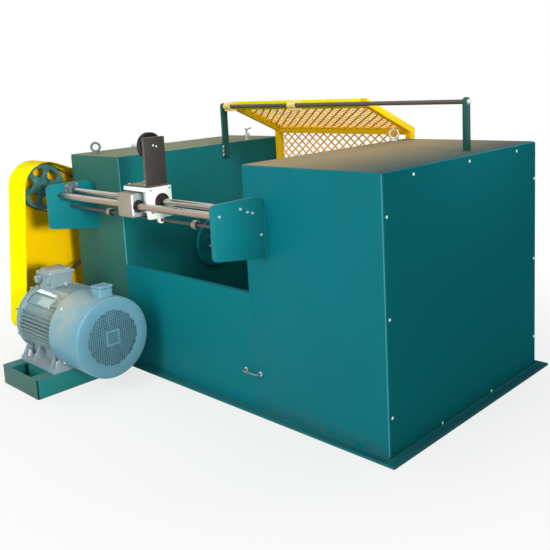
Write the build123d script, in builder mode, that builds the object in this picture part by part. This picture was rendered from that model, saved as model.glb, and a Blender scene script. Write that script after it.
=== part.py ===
"""Spooler of a wire drawing line: two sheet-steel housings with an open spool bay between them,
a rolling-ring traverse unit across the front, a belt guard at the left end, a foot-mounted drive
motor in front and a hinged mesh cover over the back of the bay.

Frame, in millimetres: X runs to the right along the front, Y runs to the back, Z is up. The origin
is on the floor, at the front left lower corner of the left housing.
"""
import os
from math import acos, atan2, cos, hypot, pi, sin, tan

from build123d import *

# Housings and bay
BASE_THICK = 12.0
HOUSING_TOP = 1180.0
HOUSING_DEPTH = 1280.0
LEFT_WIDTH = 495.0
BAY_WIDTH = 985.0
RIGHT_WIDTH = 785.0
HOUSING_EDGE_ROUND = 4.0
BASE_FRONT_LIP = 40.0
BASE_SIDE_LIP = 50.0
BASE_BACK_LIP = 50.0
BAY_PANEL_TOP = 577.0
BAY_PANEL_THICK = 5.0
BAY_PANEL_FOLD = 30.0
END_PANEL_THICK = 3.0
END_PANEL_MARGIN = 6.0

BAY_LEFT = LEFT_WIDTH
BAY_RIGHT = LEFT_WIDTH + BAY_WIDTH
MACHINE_RIGHT = BAY_RIGHT + RIGHT_WIDTH

# Running and seating clearances
RUNNING_FIT = 0.05
SEAT_GAP = 0.3

# Spindle, spool centres and their shaft
SPINDLE_Y = 640.0
SPINDLE_Z = 590.0
SPINDLE_DIA = 80.0
FACE_PLATE_DIA = 300.0
FACE_PLATE_THICK = 22.0
FACE_PLATE_GAP = 8.0
CENTRE_BASE_DIA = 90.0
CENTRE_TIP_DIA = 44.0
CENTRE_LENGTH = 85.0
DRIVE_PIN_DIA = 30.0
DRIVE_PIN_LENGTH = 45.0
DRIVE_PIN_RADIUS = 105.0
TAIL_FLANGE_DIA = 200.0
TAIL_FLANGE_THICK = 20.0
TAIL_SLEEVE_DIA = 110.0
TAIL_SLEEVE_LENGTH = 90.0

# Traverse unit across the front
DRIVE_SHAFT_DIA = 35.0
DRIVE_SHAFT_Y = -157.0
DRIVE_SHAFT_Z = 1003.0
GUIDE_ROD_DIA = 35.0
GUIDE_ROD_Y = -226.0
GUIDE_ROD_Z = 983.0
STOP_ROD_DIA = 14.0
STOP_ROD_Y = -167.0
STOP_ROD_Z = 916.0
STOP_COLLAR_DIA = 42.0
STOP_COLLAR_WIDTH = 26.0
STOP_LEFT_INSET = 145.0
STOP_RIGHT_INSET = 143.0
BRACKET_THICK = 20.0
BRACKET_REACH = 302.0
BRACKET_LOW = 806.0
BRACKET_HIGH = 1048.0
BRACKET_ROOT_DROP = 45.0
BRACKET_TOP_ROUND = 30.0
BRACKET_ROOT_ROUND = 60.0
BRACKET_LOW_ROUND = 16.0
LEFT_BRACKET_X = 226.0
RIGHT_BRACKET_INSET = 117.0
BEARING_FLANGE = 84.0
BEARING_FLANGE_THICK = 12.0
BEARING_BOSS_DIA = 64.0
BEARING_BOSS_LENGTH = 28.0

# Carriage
CARRIAGE_INSET = 381.0
BLOCK_WIDTH = 206.0
BLOCK_FRONT = -231.0
BLOCK_DEPTH = 134.0
BLOCK_LOW = 944.0
BLOCK_TOP = 1077.0
BLOCK_TOP_WALL = 20.0
BLOCK_END_WALL = 29.0
BLOCK_POCKET_DEPTH = 41.0
BLOCK_RIGHT_RING_DIA = 84.0
BLOCK_LEFT_RING_DIA = 64.0
BLOCK_RING_PROUD = 4.0
GUIDE_HOUSING_OVERHANG = 23.0
GUIDE_HOUSING_WIDTH = 127.0
GUIDE_HOUSING_PROUD = 26.0
GUIDE_HOUSING_LOW = 930.0
GUIDE_HOUSING_TOP = 1046.0
GUIDE_RING_DIA = 62.0
GUIDE_RING_PROUD = 8.0
TRIP_THICK = 26.0
TRIP_HEIGHT = 18.0
TRIP_RING_DIA = 34.0
TRIP_RING_THICK = 16.0
COLUMN_PLATE_THICK = 6.0
COLUMN_PLATE_MARGIN = 6.0
COLUMN_THICK = 22.0
COLUMN_DEPTH = 118.0
COLUMN_HEIGHT = 236.0
COLUMN_INSET = 16.0
WHEEL_DIA = 130.0
WHEEL_WIDTH = 26.0
WHEEL_PIN_DIA = 16.0
WHEEL_BORE_DIA = WHEEL_PIN_DIA + 2 * RUNNING_FIT
WHEEL_HUB_GAP = 8.0
WHEEL_DROP = 43.0

# Belt drive in the left guard
GUARD_DEPTH = 200.0
GUARD_WALL = 3.0
GUARD_TOP_RADIUS = 150.0
GUARD_SPINDLE_RADIUS = 235.0
GUARD_BOTTOM_RADIUS = 70.0
GUARD_BOTTOM_SHIFT = 3.0
GUARD_BOTTOM_DROP = 72.0
TRAVERSE_PULLEY_DIA = 262.0
TRAVERSE_PULLEY_WIDTH = 34.0
TRAVERSE_PULLEY_X = -98.0
TRAVERSE_RIM = 20.0
TRAVERSE_HUB_DIA = 110.0
SPOKE_COUNT = 6
SPOKE_WIDTH = 40.0
SPOKE_THICK = 12.0
SPINDLE_PULLEY_DIA = 400.0
SPINDLE_PULLEY_WIDTH = 54.0
SPINDLE_PULLEY_X = -62.0
SPINDLE_WEB_THICK = 16.0
SPINDLE_RIM = 24.0
SPINDLE_SMALL_DIA = 112.0
MOTOR_PULLEY_DIA = 90.0
MOTOR_PULLEY_WIDTH = SPINDLE_PULLEY_WIDTH
BELT_THICK = 6.0
BELT_GAP = 0.5
MAIN_BELT_EDGE = 5.0
TRAVERSE_BELT_WIDTH = 22.0

# Motor and its base
MOTOR_BASE_HEIGHT = 105.0
MOTOR_BASE_FRONT = -613.0
BASE_LEFT_INSET = -10.0
BASE_RIGHT_INSET = 5.0
CROSS_INSET = 2.5
CHANNEL_FLANGE = 75.0
CHANNEL_WALL = 8.0
MOTOR_Y = -313.0
SHOULDER_X = 85.0
SHIELD_LENGTH = 75.0
SHIELD_STEP = 24.0
SHIELD_NOSE_DIA = 258.0
FRAME_LENGTH = 365.0
FRAME_DIA = 348.0
FRAME_LIFT = 26.0
FIN_HEIGHT = 24.0
FIN_THICK = 5.0
FIN_COUNT = 12
FIN_LOWEST = -24.0
FIN_SWEEP = 70.0
TOP_FIN_COUNT = 7
TOP_FIN_PITCH = 24.0
TOP_FIN_RISE = 30.0
TOP_FIN_GAP = 6.0
COWL_STEP = 36.0
COWL_LENGTH = 268.0
COWL_ROUND = 12.0
FOOT_LEFT_INSET = 2.0
FOOT_RIGHT_INSET = 2.0
FOOT_WIDTH = 76.0
FOOT_THICK = 24.0
FOOT_OUTREACH = 23.5
FOOT_WEB_RISE = 107.0
FOOT_BOLT_INSET = 32.0
FOOT_BOLT_EDGE = 38.5
FOOT_BOLT_DIA = 18.5
MOTOR_SHAFT_DIA = 55.0
BOX_INSET = 36.0
BOX_LENGTH = 136.0
BOX_WIDTH = 136.0
BOX_SINK = 39.0
BOX_RISE = 104.0
BOX_ROUND = 12.0
LID_THICK = 16.0
LID_OVERHANG = 8.0
FAN_BOX_INSET = 165.0
FAN_BOX_LENGTH = 75.0
FAN_BOX_WIDTH = 76.0
FAN_BOX_RISE = 57.0
MOTOR_Z = MOTOR_BASE_HEIGHT + FRAME_LIFT + FRAME_DIA / 2

# Mesh cover over the bay
PIVOT_Y = 782.0
PIVOT_RISE = 225.0
PIVOT_Z = HOUSING_TOP + PIVOT_RISE
PIVOT_DIA = 22.0
POST_WIDTH = 42.0
POST_THICK = 18.0
POST_LAP = 90.0
RIGHT_POST_INSET = 102.0
COVER_LEFT_GAP = 25.0
COVER_RIGHT_LAP = 100.0
COVER_BAR = 38.0
COVER_BACK_INSET = 40.0
COVER_HANG_GAP = 10.0
COVER_KNEE_RISE = 66.0
COVER_LEG_GAP = 6.0
COVER_TOP_START = 32.0
COVER_TOP_RISE = 28.0
COVER_BOTTOM_RISE = 33.0
COVER_MESH_THICK = 3.0
MESH_ACROSS = 12
TOP_MESH_ROWS = 5
BACK_MESH_ROWS = 7
MESH_STRAND = 12.0
LUG_WIDTH = 56.0
LUG_WALL = 9.0
LUG_GAP = 7.0
LUG_SHIFT = 33.0

# Small parts
EYE_RING_DIA = 63.0
EYE_WIRE_DIA = 14.0
EYE_COLLAR_DIA = 40.0
EYE_COLLAR_HEIGHT = 10.0
EYE_TURN = 45.0
LEFT_EYE_X = 151.0
LEFT_EYE_Y = 81.0
RIGHT_EYE_INSET = 37.0
RIGHT_EYE_FROM_BACK = 152.0
HANDLE_OFFSET = 7.0
HANDLE_Z = 190.0
HANDLE_WIDTH = 110.0
HANDLE_REACH = 34.0
HANDLE_BAR = 12.0

os.makedirs("parts", exist_ok=True)


def save(part, label):
    """Label a finished piece and write it as its own file."""
    part.label = label
    export_step(part, f"parts/{label}.step")


def round_plane(x, y, z):
    """Plane across X at the given point, for discs, shafts and bores along X."""
    return Plane(origin=(x, y, z), x_dir=(0, 1, 0), z_dir=(1, 0, 0))


def touch_angle(start, start_radius, end, end_radius):
    """Angle at which the tangent on the left of the way from start to end touches both circles."""
    way_y, way_z = end[0] - start[0], end[1] - start[1]
    return atan2(way_z, way_y) + acos((start_radius - end_radius) / hypot(way_y, way_z))


def rim_point(centre, radius, angle):
    """Point on a circle at the given angle."""
    return centre[0] + radius * cos(angle), centre[1] + radius * sin(angle)


def loop_round(*circles):
    """Draw a taut loop clockwise round circles of (centre, radius), in the open line builder."""
    following = circles[1:] + circles[:1]
    angles = [touch_angle(*here, *after) for here, after in zip(circles, following)]
    for index, (centre, radius) in enumerate(circles):
        arrive, leave = angles[index - 1], angles[index]
        middle = arrive - ((arrive - leave) % (2 * pi)) / 2
        after_centre, after_radius = following[index]
        ThreePointArc(
            rim_point(centre, radius, arrive),
            rim_point(centre, radius, middle),
            rim_point(centre, radius, leave),
        )
        Line(rim_point(centre, radius, leave), rim_point(after_centre, after_radius, leave))


# Base plate: one plate under both housings and the bay, proud of them all round
with BuildPart() as base_plate:
    with BuildSketch(Plane.XY):
        with Locations((-BASE_SIDE_LIP, -BASE_FRONT_LIP)):
            Rectangle(
                MACHINE_RIGHT + 2 * BASE_SIDE_LIP,
                HOUSING_DEPTH + BASE_FRONT_LIP + BASE_BACK_LIP,
                align=(Align.MIN, Align.MIN),
            )
    extrude(amount=BASE_THICK)
save(base_plate.part, "base_plate")

# Left housing, bored for the spindle
with BuildPart() as left_housing:
    with BuildSketch(Plane.XY.offset(BASE_THICK)):
        Rectangle(LEFT_WIDTH, HOUSING_DEPTH, align=(Align.MIN, Align.MIN))
    extrude(amount=HOUSING_TOP - BASE_THICK)
    fillet(left_housing.edges().group_by(Axis.Z)[-1], HOUSING_EDGE_ROUND)
    with BuildSketch(round_plane(0, SPINDLE_Y, SPINDLE_Z)):
        Circle(SPINDLE_DIA / 2 + RUNNING_FIT)
    extrude(amount=LEFT_WIDTH, mode=Mode.SUBTRACT)
save(left_housing.part, "left_housing")

# Right housing
with BuildPart() as right_housing:
    with BuildSketch(Plane.XY.offset(BASE_THICK)):
        with Locations((BAY_RIGHT, 0)):
            Rectangle(RIGHT_WIDTH, HOUSING_DEPTH, align=(Align.MIN, Align.MIN))
    extrude(amount=HOUSING_TOP - BASE_THICK)
    fillet(right_housing.edges().group_by(Axis.Z)[-1], HOUSING_EDGE_ROUND)
save(right_housing.part, "right_housing")

# End panel screwed on the right end
with BuildPart() as end_panel:
    with BuildSketch(Plane.YZ.offset(MACHINE_RIGHT)):
        with Locations((END_PANEL_MARGIN, BASE_THICK + END_PANEL_MARGIN)):
            Rectangle(
                HOUSING_DEPTH - 2 * END_PANEL_MARGIN,
                HOUSING_TOP - BASE_THICK - 2 * END_PANEL_MARGIN,
                align=(Align.MIN, Align.MIN),
            )
    extrude(amount=END_PANEL_THICK)
save(end_panel.part, "end_panel")

# Low panels that close the bay at the front and the back, each with its top edge folded in
panel_rise = BAY_PANEL_TOP - BASE_THICK
with BuildPart() as bay_front_panel:
    with BuildSketch(Plane.YZ.offset(BAY_LEFT)):
        with Locations((0, BASE_THICK)):
            Rectangle(BAY_PANEL_THICK, panel_rise, align=(Align.MIN, Align.MIN))
        with Locations((0, BAY_PANEL_TOP)):
            Rectangle(BAY_PANEL_FOLD, BAY_PANEL_THICK, align=(Align.MIN, Align.MAX))
    extrude(amount=BAY_WIDTH)
save(bay_front_panel.part, "bay_front_panel")

with BuildPart() as bay_back_panel:
    with BuildSketch(Plane.YZ.offset(BAY_LEFT)):
        with Locations((HOUSING_DEPTH, BASE_THICK)):
            Rectangle(BAY_PANEL_THICK, panel_rise, align=(Align.MAX, Align.MIN))
        with Locations((HOUSING_DEPTH, BAY_PANEL_TOP)):
            Rectangle(BAY_PANEL_FOLD, BAY_PANEL_THICK, align=(Align.MAX, Align.MAX))
    extrude(amount=BAY_WIDTH)
save(bay_back_panel.part, "bay_back_panel")

# Spindle shaft through the left housing, from its pulleys to the face plate
face_plate_x = BAY_LEFT + FACE_PLATE_GAP
with BuildPart() as spindle_shaft:
    with BuildSketch(round_plane(TRAVERSE_PULLEY_X, SPINDLE_Y, SPINDLE_Z)):
        Circle(SPINDLE_DIA / 2)
    extrude(amount=face_plate_x - TRAVERSE_PULLEY_X)
save(spindle_shaft.part, "spindle_shaft")

# Driven face plate with its centre and the pin that turns the spool
with BuildPart() as face_plate:
    with BuildSketch(round_plane(face_plate_x, SPINDLE_Y, SPINDLE_Z)):
        Circle(FACE_PLATE_DIA / 2)
    extrude(amount=FACE_PLATE_THICK)
    fillet(face_plate.edges().group_by(Axis.X)[-1], FACE_PLATE_THICK / 4)
    with BuildSketch(round_plane(face_plate_x + FACE_PLATE_THICK, SPINDLE_Y, SPINDLE_Z)):
        with Locations((DRIVE_PIN_RADIUS, 0)):
            Circle(DRIVE_PIN_DIA / 2)
    extrude(amount=DRIVE_PIN_LENGTH)
save(face_plate.part, "face_plate")

centre_x = face_plate_x + FACE_PLATE_THICK
with BuildPart() as drive_centre:
    with BuildSketch(round_plane(centre_x, SPINDLE_Y, SPINDLE_Z)):
        Circle(CENTRE_BASE_DIA / 2)
    with BuildSketch(round_plane(centre_x + CENTRE_LENGTH, SPINDLE_Y, SPINDLE_Z)):
        Circle(CENTRE_TIP_DIA / 2)
    loft()
save(drive_centre.part, "drive_centre")

# Tail centre on the right wall of the bay: flange, sleeve and cone
with BuildPart() as tail_sleeve:
    with BuildSketch(round_plane(BAY_RIGHT, SPINDLE_Y, SPINDLE_Z)):
        Circle(TAIL_FLANGE_DIA / 2)
    extrude(amount=-TAIL_FLANGE_THICK)
    with BuildSketch(round_plane(BAY_RIGHT - TAIL_FLANGE_THICK, SPINDLE_Y, SPINDLE_Z)):
        Circle(TAIL_SLEEVE_DIA / 2)
    extrude(amount=-TAIL_SLEEVE_LENGTH)
save(tail_sleeve.part, "tail_sleeve")

tail_x = BAY_RIGHT - TAIL_FLANGE_THICK - TAIL_SLEEVE_LENGTH
with BuildPart() as tail_centre:
    with BuildSketch(round_plane(tail_x, SPINDLE_Y, SPINDLE_Z)):
        Circle(CENTRE_BASE_DIA / 2)
    with BuildSketch(round_plane(tail_x - CENTRE_LENGTH, SPINDLE_Y, SPINDLE_Z)):
        Circle(CENTRE_TIP_DIA / 2)
    loft()
save(tail_centre.part, "tail_centre")


def make_bracket(x, with_pass_hole):
    """Side plate that carries the ends of the traverse rods, deeper where it meets the housing."""
    with BuildPart() as bracket:
        with BuildSketch(Plane.YZ.offset(x)) as outline:
            with BuildLine():
                Polyline(
                    (0, BRACKET_HIGH),
                    (-BRACKET_REACH, BRACKET_HIGH),
                    (-BRACKET_REACH, BRACKET_LOW),
                    (0, BRACKET_LOW - BRACKET_ROOT_DROP),
                    close=True,
                )
            make_face()
            fillet(outline.vertices().group_by(Axis.X)[0].sort_by(Axis.Y)[-1], BRACKET_TOP_ROUND)
            fillet(outline.vertices().group_by(Axis.X)[0].sort_by(Axis.Y)[0], BRACKET_LOW_ROUND)
            fillet(outline.vertices().group_by(Axis.X)[-1].sort_by(Axis.Y)[-1], BRACKET_ROOT_ROUND)
        extrude(amount=BRACKET_THICK)
        if with_pass_hole:
            with BuildSketch(round_plane(x, DRIVE_SHAFT_Y, DRIVE_SHAFT_Z)):
                Circle(DRIVE_SHAFT_DIA / 2 + RUNNING_FIT)
            extrude(amount=BRACKET_THICK, mode=Mode.SUBTRACT)
    return bracket.part


right_bracket_x = BAY_RIGHT + RIGHT_BRACKET_INSET
save(make_bracket(LEFT_BRACKET_X, True), "left_traverse_bracket")
save(make_bracket(right_bracket_x, False), "right_traverse_bracket")

# Guide rod and stop rod, held face to face between the brackets
rod_start = LEFT_BRACKET_X + BRACKET_THICK
rod_length = right_bracket_x - rod_start
with BuildPart() as guide_rod:
    with BuildSketch(round_plane(rod_start, GUIDE_ROD_Y, GUIDE_ROD_Z)):
        Circle(GUIDE_ROD_DIA / 2)
    extrude(amount=rod_length)
save(guide_rod.part, "guide_rod")

with BuildPart() as stop_rod:
    with BuildSketch(round_plane(rod_start, STOP_ROD_Y, STOP_ROD_Z)):
        Circle(STOP_ROD_DIA / 2)
    extrude(amount=rod_length)
save(stop_rod.part, "stop_rod")

# Two stop collars on the stop rod, where the carriage turns back
with BuildPart() as stop_collars:
    for stop_x in (BAY_LEFT + STOP_LEFT_INSET, BAY_RIGHT - STOP_RIGHT_INSET):
        with BuildSketch(round_plane(stop_x - STOP_COLLAR_WIDTH / 2, STOP_ROD_Y, STOP_ROD_Z)):
            Circle(STOP_COLLAR_DIA / 2)
            Circle(STOP_ROD_DIA / 2, mode=Mode.SUBTRACT)
        extrude(amount=STOP_COLLAR_WIDTH)
save(stop_collars.part, "stop_collars")

# Flange bearings of the traverse shaft, on the inner faces of the brackets
boss_depth = BEARING_FLANGE_THICK + BEARING_BOSS_LENGTH


def make_shaft_bearing(x, direction):
    """Square flange bearing unit standing on the plane x, with its boss in the given direction."""
    with BuildPart() as bearing:
        with BuildSketch(round_plane(x, DRIVE_SHAFT_Y, DRIVE_SHAFT_Z)):
            RectangleRounded(BEARING_FLANGE, BEARING_FLANGE, BEARING_FLANGE / 6)
        extrude(amount=direction * BEARING_FLANGE_THICK)
        with BuildSketch(round_plane(x, DRIVE_SHAFT_Y, DRIVE_SHAFT_Z)):
            Circle(BEARING_BOSS_DIA / 2)
        extrude(amount=direction * boss_depth)
        with BuildSketch(round_plane(x, DRIVE_SHAFT_Y, DRIVE_SHAFT_Z)):
            Circle(DRIVE_SHAFT_DIA / 2 + RUNNING_FIT)
        extrude(amount=direction * boss_depth, mode=Mode.SUBTRACT)
    return bearing.part


save(make_shaft_bearing(LEFT_BRACKET_X + BRACKET_THICK, 1), "left_shaft_bearing")
save(make_shaft_bearing(right_bracket_x, -1), "right_shaft_bearing")

# Traverse drive shaft, from its pulley to the right bracket
shaft_end = right_bracket_x - SEAT_GAP
with BuildPart() as traverse_shaft:
    with BuildSketch(round_plane(TRAVERSE_PULLEY_X, DRIVE_SHAFT_Y, DRIVE_SHAFT_Z)):
        Circle(DRIVE_SHAFT_DIA / 2)
    extrude(amount=shaft_end - TRAVERSE_PULLEY_X)
save(traverse_shaft.part, "traverse_shaft")

# Spoked pulley on the left end of the traverse shaft
web_start = TRAVERSE_PULLEY_X + (TRAVERSE_PULLEY_WIDTH - SPOKE_THICK) / 2
with BuildPart() as traverse_pulley:
    with BuildSketch(round_plane(TRAVERSE_PULLEY_X, DRIVE_SHAFT_Y, DRIVE_SHAFT_Z)):
        Circle(TRAVERSE_PULLEY_DIA / 2)
        Circle(TRAVERSE_PULLEY_DIA / 2 - TRAVERSE_RIM, mode=Mode.SUBTRACT)
        Circle(TRAVERSE_HUB_DIA / 2)
    extrude(amount=TRAVERSE_PULLEY_WIDTH)
    with BuildSketch(round_plane(web_start, DRIVE_SHAFT_Y, DRIVE_SHAFT_Z)):
        with PolarLocations(0, SPOKE_COUNT):
            Rectangle(
                TRAVERSE_PULLEY_DIA / 2 - TRAVERSE_RIM / 2, SPOKE_WIDTH, align=(Align.MIN, Align.CENTER)
            )
    extrude(amount=SPOKE_THICK)
    with BuildSketch(round_plane(TRAVERSE_PULLEY_X, DRIVE_SHAFT_Y, DRIVE_SHAFT_Z)):
        Circle(DRIVE_SHAFT_DIA / 2)
    extrude(amount=TRAVERSE_PULLEY_WIDTH, mode=Mode.SUBTRACT)
save(traverse_pulley.part, "traverse_pulley")

# Spindle pulley: rim, web and hub, with the small pulley for the traverse belt beside it
hub_length = SPINDLE_PULLEY_X + SPINDLE_PULLEY_WIDTH - TRAVERSE_PULLEY_X
with BuildPart() as spindle_pulley:
    with BuildSketch(round_plane(SPINDLE_PULLEY_X, SPINDLE_Y, SPINDLE_Z)):
        Circle(SPINDLE_PULLEY_DIA / 2)
        Circle(SPINDLE_PULLEY_DIA / 2 - SPINDLE_RIM, mode=Mode.SUBTRACT)
    extrude(amount=SPINDLE_PULLEY_WIDTH)
    with BuildSketch(
        round_plane(SPINDLE_PULLEY_X + (SPINDLE_PULLEY_WIDTH - SPINDLE_WEB_THICK) / 2, SPINDLE_Y, SPINDLE_Z)
    ):
        Circle(SPINDLE_PULLEY_DIA / 2 - SPINDLE_RIM / 2)
    extrude(amount=SPINDLE_WEB_THICK)
    with BuildSketch(round_plane(TRAVERSE_PULLEY_X, SPINDLE_Y, SPINDLE_Z)):
        Circle(SPINDLE_SMALL_DIA / 2)
    extrude(amount=hub_length)
    with BuildSketch(round_plane(TRAVERSE_PULLEY_X, SPINDLE_Y, SPINDLE_Z)):
        Circle(SPINDLE_DIA / 2)
    extrude(amount=hub_length, mode=Mode.SUBTRACT)
save(spindle_pulley.part, "spindle_pulley")

# Motor shaft and its pulley
motor_pulley_x = SPINDLE_PULLEY_X
with BuildPart() as motor_shaft:
    with BuildSketch(round_plane(motor_pulley_x, MOTOR_Y, MOTOR_Z)):
        Circle(MOTOR_SHAFT_DIA / 2)
    extrude(amount=SHOULDER_X + SHIELD_LENGTH - SEAT_GAP - motor_pulley_x)
save(motor_shaft.part, "motor_shaft")

with BuildPart() as motor_pulley:
    with BuildSketch(round_plane(motor_pulley_x, MOTOR_Y, MOTOR_Z)):
        Circle(MOTOR_PULLEY_DIA / 2)
        Circle(MOTOR_SHAFT_DIA / 2, mode=Mode.SUBTRACT)
    extrude(amount=MOTOR_PULLEY_WIDTH)
save(motor_pulley.part, "motor_pulley")

# Belts, each one fixed loop that stands just clear of its pulleys
motor_point = (MOTOR_Y, MOTOR_Z)
spindle_point = (SPINDLE_Y, SPINDLE_Z)
shaft_point = (DRIVE_SHAFT_Y, DRIVE_SHAFT_Z)


def make_belt(x, width, driver, driver_dia, driven, driven_dia):
    """Belt loop of the given width from the plane x on, round a driver and a driven pulley."""
    inner = ((driver, driver_dia / 2 + BELT_GAP), (driven, driven_dia / 2 + BELT_GAP))
    outer = [(centre, radius + BELT_THICK) for centre, radius in inner]
    with BuildPart() as belt:
        with BuildSketch(Plane.YZ.offset(x)):
            with BuildLine():
                loop_round(*outer)
            make_face()
            with BuildLine():
                loop_round(*inner)
            make_face(mode=Mode.SUBTRACT)
        extrude(amount=width)
    return belt.part


main_belt = make_belt(
    SPINDLE_PULLEY_X + MAIN_BELT_EDGE,
    SPINDLE_PULLEY_WIDTH - 2 * MAIN_BELT_EDGE,
    motor_point,
    MOTOR_PULLEY_DIA,
    spindle_point,
    SPINDLE_PULLEY_DIA,
)
save(main_belt, "main_belt")

traverse_belt_x = TRAVERSE_PULLEY_X + (TRAVERSE_PULLEY_WIDTH - TRAVERSE_BELT_WIDTH) / 2
traverse_belt = make_belt(
    traverse_belt_x,
    TRAVERSE_BELT_WIDTH,
    spindle_point,
    SPINDLE_SMALL_DIA,
    shaft_point,
    TRAVERSE_PULLEY_DIA,
)
save(traverse_belt, "traverse_belt")


def guard_outline(inset):
    """Three-lobed outline of the belt guard, drawn inwards by inset, in the open line builder."""
    low_point = (MOTOR_Y + GUARD_BOTTOM_SHIFT, MOTOR_Z - GUARD_BOTTOM_DROP)
    loop_round(
        (shaft_point, GUARD_TOP_RADIUS - inset),
        (spindle_point, GUARD_SPINDLE_RADIUS - inset),
        (low_point, GUARD_BOTTOM_RADIUS - inset),
    )


# Belt guard: far plate and rim; its near side is closed by the left housing and open in front of it
with BuildPart() as belt_guard:
    with BuildSketch(Plane.YZ.offset(-GUARD_DEPTH)):
        with BuildLine():
            guard_outline(0)
        make_face()
    extrude(amount=GUARD_DEPTH)
    with BuildSketch(Plane.YZ.offset(-GUARD_DEPTH + GUARD_WALL)):
        with BuildLine():
            guard_outline(GUARD_WALL)
        make_face()
    extrude(amount=GUARD_DEPTH, mode=Mode.SUBTRACT)
save(belt_guard.part, "belt_guard")

# Carriage block, bored for the shaft, with a pocket in its front for the guide housing
block_left = BAY_LEFT + CARRIAGE_INSET
block_right = block_left + BLOCK_WIDTH
pocket_back = BLOCK_FRONT + BLOCK_POCKET_DEPTH
with BuildPart() as carriage_block:
    with BuildSketch(Plane.YZ.offset(block_left)):
        with Locations((BLOCK_FRONT, BLOCK_LOW)):
            Rectangle(BLOCK_DEPTH, BLOCK_TOP - BLOCK_LOW, align=(Align.MIN, Align.MIN))
        with Locations((DRIVE_SHAFT_Y, DRIVE_SHAFT_Z)):
            Circle(DRIVE_SHAFT_DIA / 2 + RUNNING_FIT, mode=Mode.SUBTRACT)
        with Locations((GUIDE_ROD_Y, GUIDE_ROD_Z)):
            Circle(GUIDE_ROD_DIA / 2 + RUNNING_FIT, mode=Mode.SUBTRACT)
    extrude(amount=BLOCK_WIDTH)
    with BuildSketch(Plane.YZ.offset(block_left)):
        with Locations((BLOCK_FRONT, BLOCK_LOW)):
            Rectangle(
                BLOCK_POCKET_DEPTH, BLOCK_TOP - BLOCK_TOP_WALL - BLOCK_LOW, align=(Align.MIN, Align.MIN)
            )
    extrude(amount=BLOCK_WIDTH - BLOCK_END_WALL, mode=Mode.SUBTRACT)
save(carriage_block.part, "carriage_block")

# Guide housing in the pocket, round the guide rod
guide_left = block_left - GUIDE_HOUSING_OVERHANG
guide_right = guide_left + GUIDE_HOUSING_WIDTH
with BuildPart() as guide_housing:
    with BuildSketch(Plane.YZ.offset(guide_left)):
        with Locations((pocket_back, GUIDE_HOUSING_LOW)):
            Rectangle(
                GUIDE_HOUSING_PROUD + BLOCK_POCKET_DEPTH,
                GUIDE_HOUSING_TOP - GUIDE_HOUSING_LOW,
                align=(Align.MAX, Align.MIN),
            )
        with Locations((GUIDE_ROD_Y, GUIDE_ROD_Z)):
            Circle(GUIDE_ROD_DIA / 2 + RUNNING_FIT, mode=Mode.SUBTRACT)
    extrude(amount=GUIDE_HOUSING_WIDTH)
save(guide_housing.part, "guide_housing")

# Black end rings of the carriage's bearings, on the shaft at both ends and on the guide rod
with BuildPart() as bearing_rings:
    for ring_x, ring_dia in (
        (block_left - BLOCK_RING_PROUD, BLOCK_LEFT_RING_DIA),
        (block_right, BLOCK_RIGHT_RING_DIA),
    ):
        with BuildSketch(round_plane(ring_x, DRIVE_SHAFT_Y, DRIVE_SHAFT_Z)):
            Circle(ring_dia / 2)
            Circle(DRIVE_SHAFT_DIA / 2 + RUNNING_FIT, mode=Mode.SUBTRACT)
        extrude(amount=BLOCK_RING_PROUD)
    with BuildSketch(round_plane(guide_right, GUIDE_ROD_Y, GUIDE_ROD_Z)):
        Circle(GUIDE_RING_DIA / 2)
        Circle(GUIDE_ROD_DIA / 2 + RUNNING_FIT, mode=Mode.SUBTRACT)
    extrude(amount=GUIDE_RING_PROUD)
save(bearing_rings.part, "bearing_rings")

# Trip plate under the block, with a ring that rides on the stop rod and meets the stop collars
trip_left = block_right - TRIP_THICK
with BuildPart() as trip_plate:
    with BuildSketch(Plane.YZ.offset(trip_left)):
        with Locations((BLOCK_FRONT, BLOCK_LOW)):
            Rectangle(BLOCK_DEPTH, TRIP_HEIGHT, align=(Align.MIN, Align.MAX))
    extrude(amount=TRIP_THICK)
    with BuildSketch(round_plane(block_right - TRIP_RING_THICK, STOP_ROD_Y, STOP_ROD_Z)):
        Circle(TRIP_RING_DIA / 2)
    extrude(amount=TRIP_RING_THICK)
    with BuildSketch(round_plane(trip_left, STOP_ROD_Y, STOP_ROD_Z)):
        Circle(STOP_ROD_DIA / 2 + RUNNING_FIT)
    extrude(amount=TRIP_THICK, mode=Mode.SUBTRACT)
save(trip_plate.part, "trip_plate")

# Wire guide column with its foot plate on the block and the pin of its wheel
wheel_y = BLOCK_FRONT + BLOCK_DEPTH / 2
wheel_z = BLOCK_TOP + COLUMN_HEIGHT - WHEEL_DROP
column_left = block_right - COLUMN_INSET - COLUMN_THICK
wheel_x = column_left - WHEEL_HUB_GAP - WHEEL_WIDTH
with BuildPart() as wire_guide_column:
    with BuildSketch(Plane.XY.offset(BLOCK_TOP)):
        with Locations(((block_left + block_right) / 2, wheel_y)):
            Rectangle(BLOCK_WIDTH - 2 * COLUMN_PLATE_MARGIN, BLOCK_DEPTH - 2 * COLUMN_PLATE_MARGIN)
    extrude(amount=COLUMN_PLATE_THICK)
    with BuildSketch(Plane.XY.offset(BLOCK_TOP)):
        with Locations((column_left, wheel_y)):
            Rectangle(COLUMN_THICK, COLUMN_DEPTH, align=(Align.MIN, Align.CENTER))
    extrude(amount=COLUMN_HEIGHT)
    with BuildSketch(round_plane(wheel_x - WHEEL_HUB_GAP, wheel_y, wheel_z)):
        Circle(WHEEL_PIN_DIA / 2)
    extrude(amount=column_left - wheel_x + WHEEL_HUB_GAP)
save(wire_guide_column.part, "wire_guide_column")

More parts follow.
